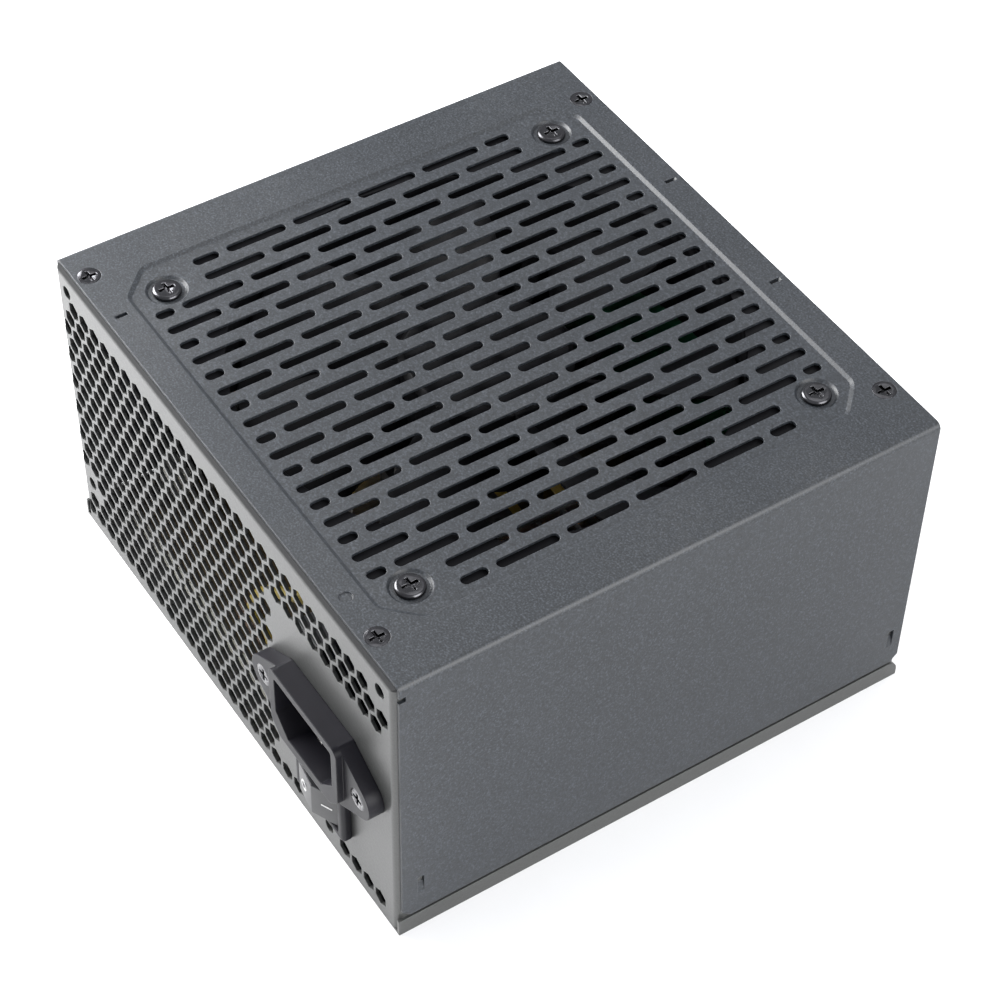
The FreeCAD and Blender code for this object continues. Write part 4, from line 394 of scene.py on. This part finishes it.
class DrawnMetal(NodeGroup):
    """Long fine streaks of drawn, rolled or ground metal."""

    name = "drawn_metal"
    inputs = (
        ("Base Colour", "NodeSocketColor", (0.6, 0.6, 0.6, 1.0)),
        ("Streak Colour", "NodeSocketColor", (0.45, 0.45, 0.45, 1.0)),
        ("Stretch", "NodeSocketVector", (60.0, 2500.0, 60.0)),
        ("Roughness", "NodeSocketFloat", 0.3),
        ("Streak Height", "NodeSocketFloat", 1.0),
    )
    outputs = (("Colour", "NodeSocketColor"), ("Roughness", "NodeSocketFloat"), ("Height", "NodeSocketFloat"))

    streak_band = (0.35, 0.65)
    gloss_swing = 0.3

    def wire(self) -> None:
        """Noise in coordinates that are squeezed across the streaks."""
        entry = self.entry.outputs
        squeeze = self.node("ShaderNodeVectorMath", operation="MULTIPLY")
        self.link(self.place(), squeeze.inputs[0])
        self.link(entry["Stretch"], squeeze.inputs[1])
        streak = self.noise(1.0, 3.0, squeeze.outputs["Vector"]).outputs["Fac"]
        share = self.ramp(streak, *self.streak_band)
        streaked = self.mix(share, entry["Base Colour"], entry["Streak Colour"])
        self.link(streaked, self.exit.inputs["Colour"])
        self.link(self.swing(streak, self.gloss_swing, entry["Roughness"]), self.exit.inputs["Roughness"])
        self.link(self.math("MULTIPLY", streak, entry["Streak Height"]), self.exit.inputs["Height"])


class Effects:
    """The shared effects, each built the first time that a finish asks for it."""

    _made: dict[type, NodeGroup] = {}

    @classmethod
    def tree(cls, kind: type[NodeGroup]) -> bpy.types.NodeTree:
        """The node tree of one effect."""
        if kind not in cls._made:
            cls._made[kind] = kind()
        return cls._made[kind].tree


# ---------------------------------------------------------------------------
# Finishes
# ---------------------------------------------------------------------------


class Surface:
    """One material under construction: its tree, shader and the colour so far."""

    def __init__(self, name: str) -> None:
        """Start a material with a Principled shader.

        Args:
            name: The material's name.
        """
        self.material = bpy.data.materials.new(name)
        self.material.use_nodes = True
        self.tree = self.material.node_tree
        self.shader = self.tree.nodes["Principled BSDF"]

    def effect(self, kind: type[NodeGroup], **values: object) -> bpy.types.Node:
        """Place a shared effect.

        Args:
            kind: Which effect.
            values: Socket values, with spaces in socket names written as underscores.

        Returns:
            The group node.
        """
        made = self.tree.nodes.new("ShaderNodeGroup")
        made.node_tree = Effects.tree(kind)
        for key, value in values.items():
            socket = made.inputs[key.replace("_", " ")]
            if isinstance(value, bpy.types.NodeSocket):
                self.tree.links.new(value, socket)
            elif isinstance(value, tuple) and len(value) == 3 and socket.type == "RGBA":
                socket.default_value = (*value, 1.0)
            else:
                socket.default_value = value
        return made

    def feed(self, socket: str, source: bpy.types.NodeSocket) -> None:
        """Join a varying value to one of the shader's sockets."""
        self.tree.links.new(source, self.shader.inputs[socket])

    def bump(self, height: bpy.types.NodeSocket, strength: float, distance: float,
             soft_edge: float = 0.0) -> None:
        """Turn a height into the shader's normal.

        Args:
            height: The height socket.
            strength: Bump strength, 0 to 1.
            distance: Height of the relief in metres.
            soft_edge: Radius in metres by which paint rounds the edges, or 0.
        """
        node = self.tree.nodes.new("ShaderNodeBump")
        node.inputs["Strength"].default_value = strength
        node.inputs["Distance"].default_value = distance
        if soft_edge > 0.0:
            rounded = self.tree.nodes.new("ShaderNodeBevel")
            rounded.samples = 6
            rounded.inputs["Radius"].default_value = soft_edge
            self.tree.links.new(rounded.outputs["Normal"], node.inputs["Normal"])
        self.tree.links.new(height, node.inputs["Height"])
        self.tree.links.new(node.outputs["Normal"], self.shader.inputs["Normal"])

    def constant(self, **values: float) -> None:
        """Set plain numbers on the shader, underscores standing for spaces."""
        for key, value in values.items():
            self.shader.inputs[key.replace("_", " ")].default_value = value


@dataclass(frozen=True)
class PowderCoat:
    """Baked powder paint on sheet steel."""

    name: str
    colour: Colour
    fleck: Colour
    pit: Colour
    grain: float = 2300.0
    fleck_share: float = 0.55
    roughness: float = 0.46
    relief: float = 0.06 * MM
    bump_strength: float = 0.55
    dust: float = 0.10
    # Strength and reach of the painted highlight on the corners.
    edge_highlight: float = 0.35
    edge_highlight_reach: float = 0.3 * MM
    soft_edge: float = 0.25 * MM
    # Height above which the fold gets painted shade, or None for none.
    fold_height: Optional[float] = None

    def build(self) -> bpy.types.Material:
        """Make the material."""
        surface = Surface(self.name)
        grain = surface.effect(
            PowderGrain, Base_Colour=self.colour, Fleck_Colour=self.fleck, Pit_Colour=self.pit,
            Grain_Scale=self.grain, Fleck_Share=self.fleck_share, Roughness=self.roughness)
        # Painted highlight: the corners are lightened towards the fleck colour.
        edge_highlight = surface.effect(EdgePaintedHighlight, Base_Colour=grain.outputs["Colour"], Worn_Colour=self.fleck,
                              Reach=self.edge_highlight_reach, Strength=self.edge_highlight)
        dust = surface.effect(FineDust, Base_Colour=edge_highlight.outputs["Colour"], Amount=self.dust)
        colour, roughness = dust.outputs["Colour"], grain.outputs["Roughness"]
        # Painted shade along the top fold, above fold_height.
        if self.fold_height is not None:
            fold = surface.effect(FoldPaintedShade, Base_Colour=colour, Roughness=roughness,
                                  Fold_Height=self.fold_height)
            colour, roughness = fold.outputs["Colour"], fold.outputs["Roughness"]
        surface.feed("Base Color", colour)
        surface.feed("Roughness", roughness)
        surface.bump(grain.outputs["Height"], self.bump_strength, self.relief, self.soft_edge)
        return surface.material


@dataclass(frozen=True)
class Moulded:
    """Moulded plastic, film, ceramic, ferrite or varnish."""

    name: str
    colour: Colour
    cloud: Colour
    roughness: float = 0.45
    texture: float = 2200.0
    relief: float = 0.02 * MM
    bump_strength: float = 0.5
    # Strength, reach and colour of the painted highlight on the corners.
    edge_highlight: float = 0.0
    edge_highlight_reach: float = 0.35 * MM
    edge_highlight_colour: Colour = (0.25, 0.25, 0.25)
    coat: float = 0.0
    coat_roughness: float = 0.12
    specular: float = 0.5
    soft_edge: float = 0.0

    def build(self) -> bpy.types.Material:
        """Make the material."""
        surface = Surface(self.name)
        skin = surface.effect(MouldedSkin, Base_Colour=self.colour, Cloud_Colour=self.cloud,
                              Texture_Scale=self.texture, Roughness=self.roughness)
        colour = skin.outputs["Colour"]
        # Painted highlight on the corners, in the finish's edge highlight colour.
        if self.edge_highlight > 0.0:
            edge_highlight = surface.effect(EdgePaintedHighlight, Base_Colour=colour, Worn_Colour=self.edge_highlight_colour,
                                  Reach=self.edge_highlight_reach, Strength=self.edge_highlight)
            colour = edge_highlight.outputs["Colour"]
        surface.feed("Base Color", colour)
        surface.feed("Roughness", skin.outputs["Roughness"])
        surface.bump(skin.outputs["Height"], self.bump_strength, self.relief, self.soft_edge)
        surface.constant(Coat_Weight=self.coat, Coat_Roughness=self.coat_roughness,
                         Specular_IOR_Level=self.specular)
        return surface.material


@dataclass(frozen=True)
class Metal:
    """Bare, plated, drawn or ground metal."""

    name: str
    colour: Colour
    streak: Colour
    roughness: float = 0.28
    stretch: tuple[float, float, float] = (90.0, 2600.0, 90.0)
    relief: float = 0.01 * MM
    bump_strength: float = 0.4

    def build(self) -> bpy.types.Material:
        """Make the material."""
        surface = Surface(self.name)
        drawn = surface.effect(DrawnMetal, Base_Colour=self.colour, Streak_Colour=self.streak,
                               Stretch=self.stretch, Roughness=self.roughness)
        surface.feed("Base Color", drawn.outputs["Colour"])
        surface.feed("Roughness", drawn.outputs["Roughness"])
        surface.bump(drawn.outputs["Height"], self.bump_strength, self.relief)
        surface.constant(Metallic=1.0)
        return surface.material


COVER_PAINT = PowderCoat("cover_paint", (0.0130, 0.0155, 0.0190), (0.048, 0.055, 0.066),
                         (0.0035, 0.0043, 0.0055), fleck_share=0.85, dust=0.02)
# The tray has the same dark paint as the cover; its lighter colours here are painted sheen for the brightly
# reflecting rear wall, and its fold_height adds painted shade along the top fold.
TRAY_PAINT_PAINTED_SHEEN = PowderCoat("tray_paint", (0.034, 0.035, 0.034), (0.066, 0.068, 0.066), (0.016, 0.0165, 0.016),
                        fleck_share=0.40, roughness=0.35, dust=0.02, fold_height=84.3 * MM)
BLACK_SCREW = Metal("black_screw", (0.075, 0.075, 0.080), (0.045, 0.045, 0.048), 0.24, (300.0, 300.0, 300.0))
EAR_SCREW = Metal("ear_screw", (0.10, 0.10, 0.105), (0.06, 0.06, 0.065), 0.20, (300.0, 300.0, 300.0))
PLATED_SCREW = Metal("plated_screw", (0.62, 0.62, 0.60), (0.48, 0.47, 0.45), 0.27, (300.0, 300.0, 300.0))
# The edge highlight colours given to the plastics below are painted highlights on their corners.
INLET_PLASTIC = Moulded("inlet_plastic", (0.0050, 0.0047, 0.0072), (0.0075, 0.0070, 0.0105), 0.45, edge_highlight=0.25,
                        edge_highlight_colour=(0.035, 0.034, 0.042), specular=0.20, soft_edge=0.4 * MM)
ROCKER_PLASTIC = Moulded("rocker_plastic", (0.012, 0.012, 0.014), (0.017, 0.017, 0.020), 0.38, edge_highlight=0.2,
                         edge_highlight_colour=(0.06, 0.06, 0.065))
MARK_PAINT = Moulded("mark_paint", (0.62, 0.62, 0.61), (0.55, 0.55, 0.54), 0.4)
CONTACT_PLATING = Metal("contact_plating", (0.80, 0.79, 0.76), (0.66, 0.65, 0.62), 0.20)
FAN_PLASTIC = Moulded("fan_plastic", (0.0070, 0.0070, 0.0082), (0.0105, 0.0105, 0.012), 0.50, edge_highlight=0.2,
                      edge_highlight_colour=(0.03, 0.03, 0.032), specular=0.11)
BEARING_BRONZE = Metal("bearing_bronze", (0.60, 0.42, 0.22), (0.45, 0.30, 0.15), 0.42)
MOTOR_STEEL = Metal("motor_steel", (0.38, 0.38, 0.39), (0.28, 0.28, 0.29), 0.38, (60.0, 60.0, 4200.0))
SHAFT_STEEL = Metal("shaft_steel", (0.72, 0.72, 0.72), (0.62, 0.62, 0.62), 0.16, (40.0, 40.0, 3500.0))
MAGNET_FERRITE = Moulded("magnet_ferrite", (0.050, 0.050, 0.054), (0.075, 0.073, 0.074), 0.62)
BOARD_LAMINATE = Moulded("board_laminate", (0.050, 0.034, 0.015), (0.066, 0.046, 0.021), 0.50, coat=0.1)
SOLDER_MASK = Moulded("solder_mask", (0.012, 0.105, 0.045), (0.018, 0.14, 0.06), 0.30, coat=0.4)
INSULATING_FILM = Moulded("insulating_film", (0.66, 0.65, 0.57), (0.74, 0.73, 0.66), 0.32)
STANDOFF_BRASS = Metal("standoff_brass", (0.74, 0.56, 0.27), (0.60, 0.43, 0.18), 0.24)
HEATSINK = Metal("heatsink_aluminium", (0.74, 0.75, 0.76), (0.60, 0.61, 0.62), 0.34, (3000.0, 40.0, 3000.0))
EPOXY = Moulded("package_epoxy", (0.020, 0.020, 0.022), (0.033, 0.033, 0.034), 0.55)
FERRITE = Moulded("core_ferrite", (0.062, 0.060, 0.060), (0.095, 0.090, 0.088), 0.60)
WINDING_TAPE = Moulded("winding_tape", (0.42, 0.28, 0.035), (0.48, 0.33, 0.05), 0.30, coat=0.35)
POWDER_CORE = Moulded("core_coating", (0.26, 0.21, 0.05), (0.31, 0.26, 0.07), 0.45)
ENAMELLED_WIRE = Metal("enamelled_wire", (0.62, 0.23, 0.075), (0.52, 0.17, 0.05), 0.26)
CAN_SLEEVE = Moulded("capacitor_sleeve", (0.018, 0.018, 0.034), (0.028, 0.028, 0.050), 0.28, coat=0.3)
CAN_TOP = Metal("capacitor_top", (0.78, 0.78, 0.78), (0.68, 0.68, 0.68), 0.30)
FILM_BOX = Moulded("film_capacitor_box", (0.075, 0.075, 0.080), (0.095, 0.095, 0.10), 0.38)
DISC_COATING = Moulded("disc_coating", (0.085, 0.045, 0.024), (0.11, 0.06, 0.032), 0.25, coat=0.4)
FUSE_CERAMIC = Moulded("fuse_body", (0.74, 0.73, 0.69), (0.80, 0.79, 0.76), 0.35)
SOCKET_NYLON = Moulded("socket_nylon", (0.024, 0.024, 0.026), (0.034, 0.034, 0.036), 0.44, edge_highlight=0.15,
                       edge_highlight_colour=(0.10, 0.10, 0.10))
MAINS_SHEATH = Moulded("mains_sheath", (0.028, 0.028, 0.028), (0.040, 0.040, 0.040), 0.45)
EARTH_SHEATH = Moulded("earth_sheath", (0.30, 0.215, 0.025), (0.36, 0.27, 0.035), 0.5)
LEAD_SHEATH = Moulded("lead_sheath", (0.035, 0.035, 0.036), (0.050, 0.050, 0.050), 0.45)
PLUG_NYLON = Moulded("plug_nylon", (0.78, 0.76, 0.68), (0.84, 0.82, 0.75), 0.40)
PALE_FLOOR = Moulded("pale_floor", (0.86, 0.86, 0.86), (0.87, 0.87, 0.87), 0.75, relief=0.0, specular=0.1)


class FinishShelf:
    """Builds each finish once and hands it out."""

    _made: dict[str, bpy.types.Material] = {}

    @classmethod
    def get(cls, finish: object) -> bpy.types.Material:
        """The Blender material of a finish."""
        if finish.name not in cls._made:
            cls._made[finish.name] = finish.build()
        return cls._made[finish.name]


# ---------------------------------------------------------------------------
# Mesh work
# ---------------------------------------------------------------------------


def dress(piece: bpy.types.Object, finish: object) -> None:
    """Give a piece or a CAD node one finish all over.

    Args:
        piece: The object.
        finish: One of the finishes above.
    """
    slots = piece.data.materials
    slots.clear()
    slots.append(FinishShelf.get(finish))
    if piece.type == "MESH":
        piece.data.polygons.foreach_set("material_index", [0] * len(piece.data.polygons))


def dress_node(node: str, finish: object) -> None:
    """Give a CAD node that stays in view one finish."""
    dress(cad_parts[node], finish)
    LOG.info("node %s: %s", node, finish.name)


def new_piece(name: str, mesh: bpy.types.Mesh) -> bpy.types.Object:
    """Put a mesh into the scene as an object."""
    piece = bpy.data.objects.new(name, mesh)
    bpy.context.scene.collection.objects.link(piece)
    return piece


def centre_of(node: str) -> Vector:
    """Middle of a CAD node's box."""
    low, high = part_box(node)
    return (low + high) / 2


@dataclass
class SoftCopy:
    """A CAD node's own shape with small rounded edges, which stands for the node."""

    node: str
    finish: object
    slot: str
    body: Body = Body.CASE
    radius: float = 0.2 * MM
    sharp: float = 28.0
    steps: int = 2

    def build(self) -> bpy.types.Object:
        """Copy, clean, round and place the piece.

        Returns:
            The new piece.
        """
        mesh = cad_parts[self.node].data.copy()
        mesh.name = self.node + "_soft"
        work = bmesh.new()
        work.from_mesh(mesh)
        bmesh.ops.remove_doubles(work, verts=work.verts, dist=0.002 * MM)
        bmesh.ops.dissolve_limit(work, angle_limit=math.radians(0.4), verts=work.verts, edges=work.edges)
        for face in work.faces:
            face.smooth = True
        work.to_mesh(mesh)
        work.free()
        piece = new_piece(self.node + "_soft", mesh)
        rounding = piece.modifiers.new("rounded_edges", "BEVEL")
        rounding.width = self.radius
        rounding.segments = self.steps
        rounding.limit_method = "ANGLE"
        rounding.angle_limit = math.radians(self.sharp)
        rounding.use_clamp_overlap = False
        rounding.harden_normals = True
        rounding.miter_outer = "MITER_ARC"
        dress(piece, self.finish)
        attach(piece, self.body.value)
        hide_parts(self.node)
        LOG.info("piece %s: %s, %d faces", piece.name, self.finish.name, len(mesh.polygons))
        return piece


# ---------------------------------------------------------------------------
# Sub-assemblies
# ---------------------------------------------------------------------------


@dataclass
class Case:
    """Folded tray with the honeycomb rear panel, slotted cover and their screws."""

    screw_edge: float = 0.12 * MM

    def build(self) -> None:
        """Make the case's pieces."""
        dress_node("base_tray", TRAY_PAINT_PAINTED_SHEEN)
        dress_node("top_cover", COVER_PAINT)
        SoftCopy("cover_screws", BLACK_SCREW, "black_screw", radius=self.screw_edge).build()


@dataclass
class MainsInlet:
    """Moulded three-contact inlet, its contacts, screws and nuts."""

    def build(self) -> None:
        """Make the inlet's pieces."""
        dress_node("inlet_housing", INLET_PLASTIC)
        SoftCopy("inlet_pins", CONTACT_PLATING, "plated_contact", radius=0.25 * MM).build()
        SoftCopy("inlet_screws", EAR_SCREW, "plated_screw", radius=0.12 * MM).build()
        dress_node("inlet_nuts", PLATED_SCREW)


@dataclass
class RockerSwitch:
    """Bezel and body, rocker with its two marks, and the rear tabs."""

    def build(self) -> None:
        """Make the switch's pieces."""
        SoftCopy("switch_housing", INLET_PLASTIC, "black_plastic", radius=0.3 * MM, steps=3).build()
        SoftCopy("switch_rocker", ROCKER_PLASTIC, "rocker_plastic", Body.ROCKER,
                 radius=0.25 * MM, steps=3).build()
        dress_node("rocker_marks", MARK_PAINT)
        dress_node("switch_terminals", CONTACT_PLATING)


@dataclass
class CoolingFan:
    """Frame, impeller and motor of the fan."""

    def build(self) -> None:
        """Make the fan's pieces."""
        SoftCopy("fan_frame", FAN_PLASTIC, "fan_plastic", radius=0.3 * MM).build()
        SoftCopy("fan_impeller", FAN_PLASTIC, "fan_plastic", Body.ROTOR, radius=0.25 * MM, sharp=40.0).build()
        SoftCopy("fan_screws", BLACK_SCREW, "black_screw", radius=0.15 * MM).build()
        for node, finish in (
                ("fan_bearing", BEARING_BRONZE), ("fan_circuit_board", SOLDER_MASK),
                ("fan_stator", MOTOR_STEEL), ("fan_coils", ENAMELLED_WIRE), ("fan_shaft", SHAFT_STEEL),
                ("rotor_yoke", MOTOR_STEEL), ("rotor_magnet", MAGNET_FERRITE), ("fan_lead", LEAD_SHEATH),
                ("fan_plug", PLUG_NYLON)):
            dress_node(node, finish)


class RingAxis(Enum):
    """Which way a ring core's axis points."""

    UP = "up"
    ALONG = "along"


@dataclass
class WoundRing:
    """A ring core wound with round wire, in one or more stretches."""

    name: str
    inner: float
    outer: float
    wide: float
    axis: RingAxis
    stretches: Sequence[tuple[float, float]]
    wire: float = 0.65 * MM
    clearance: float = 1.05
    pitch: float = 2.12
    squareness: float = 0.45
    points_per_turn: int = 14

    def loop_point(self, phase: float) -> tuple[float, float]:
        """Where the wire's middle is on its way round the core's section.

        Args:
            phase: Angle round the section, in radians.

        Returns:
            Distance from the ring's axis, and height from the core's middle.
        """
        half_r = (self.outer - self.inner) / 2 + self.wire * self.clearance
        half_w = self.wide / 2 + self.wire * self.clearance
        c, s = math.cos(phase), math.sin(phase)
        across = math.copysign(abs(c) ** self.squareness, c) * half_r
        up = math.copysign(abs(s) ** self.squareness, s) * half_w
        return (self.inner + self.outer) / 2 + across, up

    def stretch_points(self, start: float, sweep: float) -> list[Vector]:
        """The wire's line along one wound stretch.

        Args:
            start: Angle of its first turn, in degrees.
            sweep: Angle that it covers, in degrees.

        Returns:
            Points round the ring's own centre, axis up.
        """
        turns = int(math.radians(sweep) * self.inner / (self.wire * self.pitch))
        points = []
        for step in range(turns * self.points_per_turn + 1):
            share = step / (turns * self.points_per_turn)
            radius, up = self.loop_point(share * turns * math.tau)
            angle = math.radians(start + sweep * share)
            points.append(Vector((radius * math.cos(angle), radius * math.sin(angle), up)))
        return points

    def build(self) -> None:
        """Make the wire as one curve and let it stand for the plain sleeve."""
        curve = bpy.data.curves.new(self.name + "_wire", "CURVE")
        curve.dimensions = "3D"
        curve.bevel_depth = self.wire
        curve.bevel_resolution = 2
        centre = centre_of(self.name + "_core")
        tilt = 90.0 if self.axis is RingAxis.ALONG else 0.0
        turn = Matrix.Rotation(math.radians(tilt), 3, "X")
        for start, sweep in self.stretches:
            points = [centre + turn @ point for point in self.stretch_points(start, sweep)]
            spline = curve.splines.new("POLY")
            spline.points.add(len(points) - 1)
            for knot, point in zip(spline.points, points):
                knot.co = (*point, 1.0)
        piece = new_piece(self.name + "_wire", curve)
        curve.materials.append(FinishShelf.get(ENAMELLED_WIRE))
        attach(piece, Body.CASE.value)
        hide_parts(self.name + "_winding")
        LOG.info("piece %s: %d stretches", piece.name, len(self.stretches))


@dataclass
class CanTops:
    """Scored aluminium top of the bulk capacitor."""

    inset: float = 1.2 * MM
    rise: float = 0.15 * MM
    groove: float = 0.4 * MM
    sides: int = 40

    def add_top(self, work: bmesh.types.BMesh, centre: Vector, radius: float) -> None:
        """Add one disc in four quarters, so that the gaps form a scored cross.

        Args:
            work: The mesh in construction.
            centre: Middle of the can's top face.
            radius: Radius of the disc.
        """
        for quarter in range(4):
            first = quarter * math.tau / 4
            middle = first + math.tau / 8
            hub = centre + Vector((math.cos(middle), math.sin(middle), 0.0)) * self.groove
            rim = []
            count = self.sides // 4
            for step in range(count + 1):
                angle = first + math.tau / 4 * step / count
                spot = Vector((math.cos(angle), math.sin(angle), 0.0)) * (radius - self.groove)
                rim.append(hub + spot)
            low = [work.verts.new(point) for point in [hub, *rim]]
            high = [work.verts.new(point + Vector((0.0, 0.0, self.rise))) for point in [hub, *rim]]
            work.faces.new(high)
            work.faces.new(list(reversed(low)))
            for index in range(len(low)):
                after = (index + 1) % len(low)
                work.faces.new((low[index], low[after], high[after], high[index]))

    def build(self) -> None:
        """Put a scored top on the bulk capacitor's can."""
        work = bmesh.new()
        low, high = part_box("bulk_capacitor")
        top = Vector(((low.x + high.x) / 2, (low.y + high.y) / 2, high.z - self.rise * 0.5))
        self.add_top(work, top, (high.x - low.x) / 2 - self.inset)
        mesh = bpy.data.meshes.new("can_tops")
        work.to_mesh(mesh)
        work.free()
        piece = new_piece("can_tops", mesh)
        dress(piece, CAN_TOP)
        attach(piece, Body.CASE.value)
        LOG.info("piece %s", piece.name)


@dataclass
class Electronics:
    """Board, heatsinks, wound parts, capacitors and small parts under the fan."""

    rings: Sequence[WoundRing] = field(default_factory=lambda: (
        WoundRing("filter_choke", 5.0 * MM, 11.0 * MM, 10.0 * MM, RingAxis.ALONG, ((15, 150), (195, 150))),
        WoundRing("boost_choke", 6.5 * MM, 13.0 * MM, 13.0 * MM, RingAxis.UP, ((10, 340),)),
        WoundRing("output_choke", 7.0 * MM, 14.0 * MM, 12.0 * MM, RingAxis.UP, ((10, 340),)),
    ))

    def build(self) -> None:
        """Make and dress everything on the board."""
        for node, finish in (
                ("insulating_sheet", INSULATING_FILM), ("main_board", BOARD_LAMINATE),
                ("board_standoffs", STANDOFF_BRASS), ("board_screws", PLATED_SCREW),
                ("primary_heatsink", HEATSINK), ("secondary_heatsink", HEATSINK),
                ("switching_transistors", EPOXY), ("output_rectifiers", EPOXY),
                ("device_screws", PLATED_SCREW),
                ("main_transformer_core", FERRITE), ("main_transformer_winding", WINDING_TAPE),
                ("standby_transformer_core", FERRITE), ("standby_transformer_winding", WINDING_TAPE),
                ("filter_choke_core", FERRITE), ("boost_choke_core", POWDER_CORE),
                ("output_choke_core", POWDER_CORE), ("bulk_capacitor", CAN_SLEEVE),
                ("output_capacitors", CAN_SLEEVE), ("film_capacitors", FILM_BOX),
                ("disc_capacitors", DISC_COATING), ("bridge_rectifier", EPOXY), ("mains_fuse", FUSE_CERAMIC),
                ("fuse_clips", CONTACT_PLATING), ("control_card", SOLDER_MASK), ("control_chips", EPOXY)):
            dress_node(node, finish)
        for ring in self.rings:
            ring.build()
        CanTops().build()


@dataclass
class Outputs:
    """Output board, socket blocks with their contacts, and the leads inside the case."""

    def build(self) -> None:
        """Dress the sockets, their contacts and the leads."""
        for node, finish in (
                ("motherboard_sockets", SOCKET_NYLON), ("processor_sockets", SOCKET_NYLON),
                ("graphics_sockets", SOCKET_NYLON), ("drive_sockets", SOCKET_NYLON),
                ("output_board", SOLDER_MASK), ("socket_pins", CONTACT_PLATING),
                ("mains_leads", MAINS_SHEATH), ("earth_lead", EARTH_SHEATH), ("output_leads", LEAD_SHEATH)):
            dress_node(node, finish)


# ---------------------------------------------------------------------------
# Stage
# ---------------------------------------------------------------------------


def direction(azimuth: float, elevation: float) -> Vector:
    """Unit vector from the object towards a place on the sphere around it.

    Args:
        azimuth: Degrees round the object, 0 behind the rear panel and 90 on its right.
        elevation: Degrees above the floor.

    Returns:
        The direction.
    """
    a, e = math.radians(azimuth), math.radians(elevation)
    return Vector((math.sin(a) * math.cos(e), -math.cos(a) * math.cos(e), math.sin(e)))


@dataclass(frozen=True)
class SoftBox:
    """One square area light that faces the object.

    Azimuth and elevation are in degrees, distance and size in metres, power in watts.
    """

    name: str
    azimuth: float
    elevation: float
    distance: float
    size: float
    power: float
    faces: tuple[float, float, float] = (0.0, 0.0, 0.04)

    def build(self) -> None:
        """Put the light into the scene."""
        data = bpy.data.lights.new(self.name, "AREA")
        data.size = self.size
        data.energy = self.power
        light = bpy.data.objects.new(self.name, data)
        light.visible_camera = False
        bpy.context.scene.collection.objects.link(light)
        back = direction(self.azimuth, self.elevation)
        light.location = Vector(self.faces) + back * self.distance
        light.rotation_mode = "QUATERNION"
        light.rotation_quaternion = (-back).to_track_quat("-Z", "Y")


@dataclass
class Studio:
    """Floor, world light, soft boxes and the camera."""

    azimuth: float = 55.97
    elevation: float = 47.26
    roll: float = 1.40
    distance: float = 0.6367
    aim: tuple[float, float, float] = (0.00625, 0.00047, 0.03846)
    lens: float = 97.556
    sensor: float = 36.0
    clip: tuple[float, float] = (0.05, 20.0)
    sky: Colour = (0.93, 0.95, 1.0)
    sky_strength: float = 0.70
    floor_reach: float = 6.0
    floor_gap: float = 0.05 * MM
    boxes: Sequence[SoftBox] = (
        SoftBox("key", -62.0, 30.0, 0.60, 0.40, 10.5),
        SoftBox("side", 105.0, 26.0, 1.5, 1.2, 33.0),
        SoftBox("over", 200.0, 70.0, 1.8, 1.4, 8.5),
    )

    def floor(self) -> None:
        """A wide pale floor under the object."""
        mesh = bpy.data.meshes.new("floor")
        reach = self.floor_reach
        level = CAD_BOX[0].z - self.floor_gap
        corners = [(x * reach, y * reach, level) for x, y in ((-1, -1), (1, -1), (1, 1), (-1, 1))]
        mesh.from_pydata(corners, [], [(0, 1, 2, 3)])
        floor = new_piece("floor", mesh)
        dress(floor, PALE_FLOOR)

    def lights(self) -> None:
        """World light and soft boxes."""
        world = bpy.data.worlds.new("studio")
        bpy.context.scene.world = world
        world.use_nodes = True
        background = world.node_tree.nodes["Background"]
        background.inputs["Color"].default_value = (*self.sky, 1.0)
        background.inputs["Strength"].default_value = self.sky_strength
        for box in self.boxes:
            box.build()

    def camera(self) -> None:
        """A long lens from above the right rear corner."""
        data = bpy.data.cameras.new("camera")
        data.lens = self.lens
        data.sensor_width = self.sensor
        data.clip_start, data.clip_end = self.clip
        camera = bpy.data.objects.new("camera", data)
        bpy.context.scene.collection.objects.link(camera)
        back = direction(self.azimuth, self.elevation)
        camera.location = Vector(self.aim) + back * self.distance
        camera.rotation_mode = "QUATERNION"
        facing = (-back).to_track_quat("-Z", "Y").to_matrix()
        spin = Matrix.Rotation(math.radians(self.roll), 3, back)
        camera.rotation_quaternion = (spin @ facing).to_quaternion()
        bpy.context.scene.camera = camera

    def build(self) -> None:
        """Set up the stage."""
        self.floor()
        self.lights()
        self.camera()
        bpy.context.scene.view_settings.view_transform = "Standard"


def main() -> None:
    """Build every sub-assembly, then the stage."""
    logging.basicConfig(level=logging.INFO, format="%(name)s: %(message)s")
    for part in (Case(), MainsInlet(), RockerSwitch(), CoolingFan(), Electronics(), Outputs()):
        LOG.info("building %s", type(part).__name__)
        part.build()
    Studio().build()


if __name__ == "__main__":
    main()
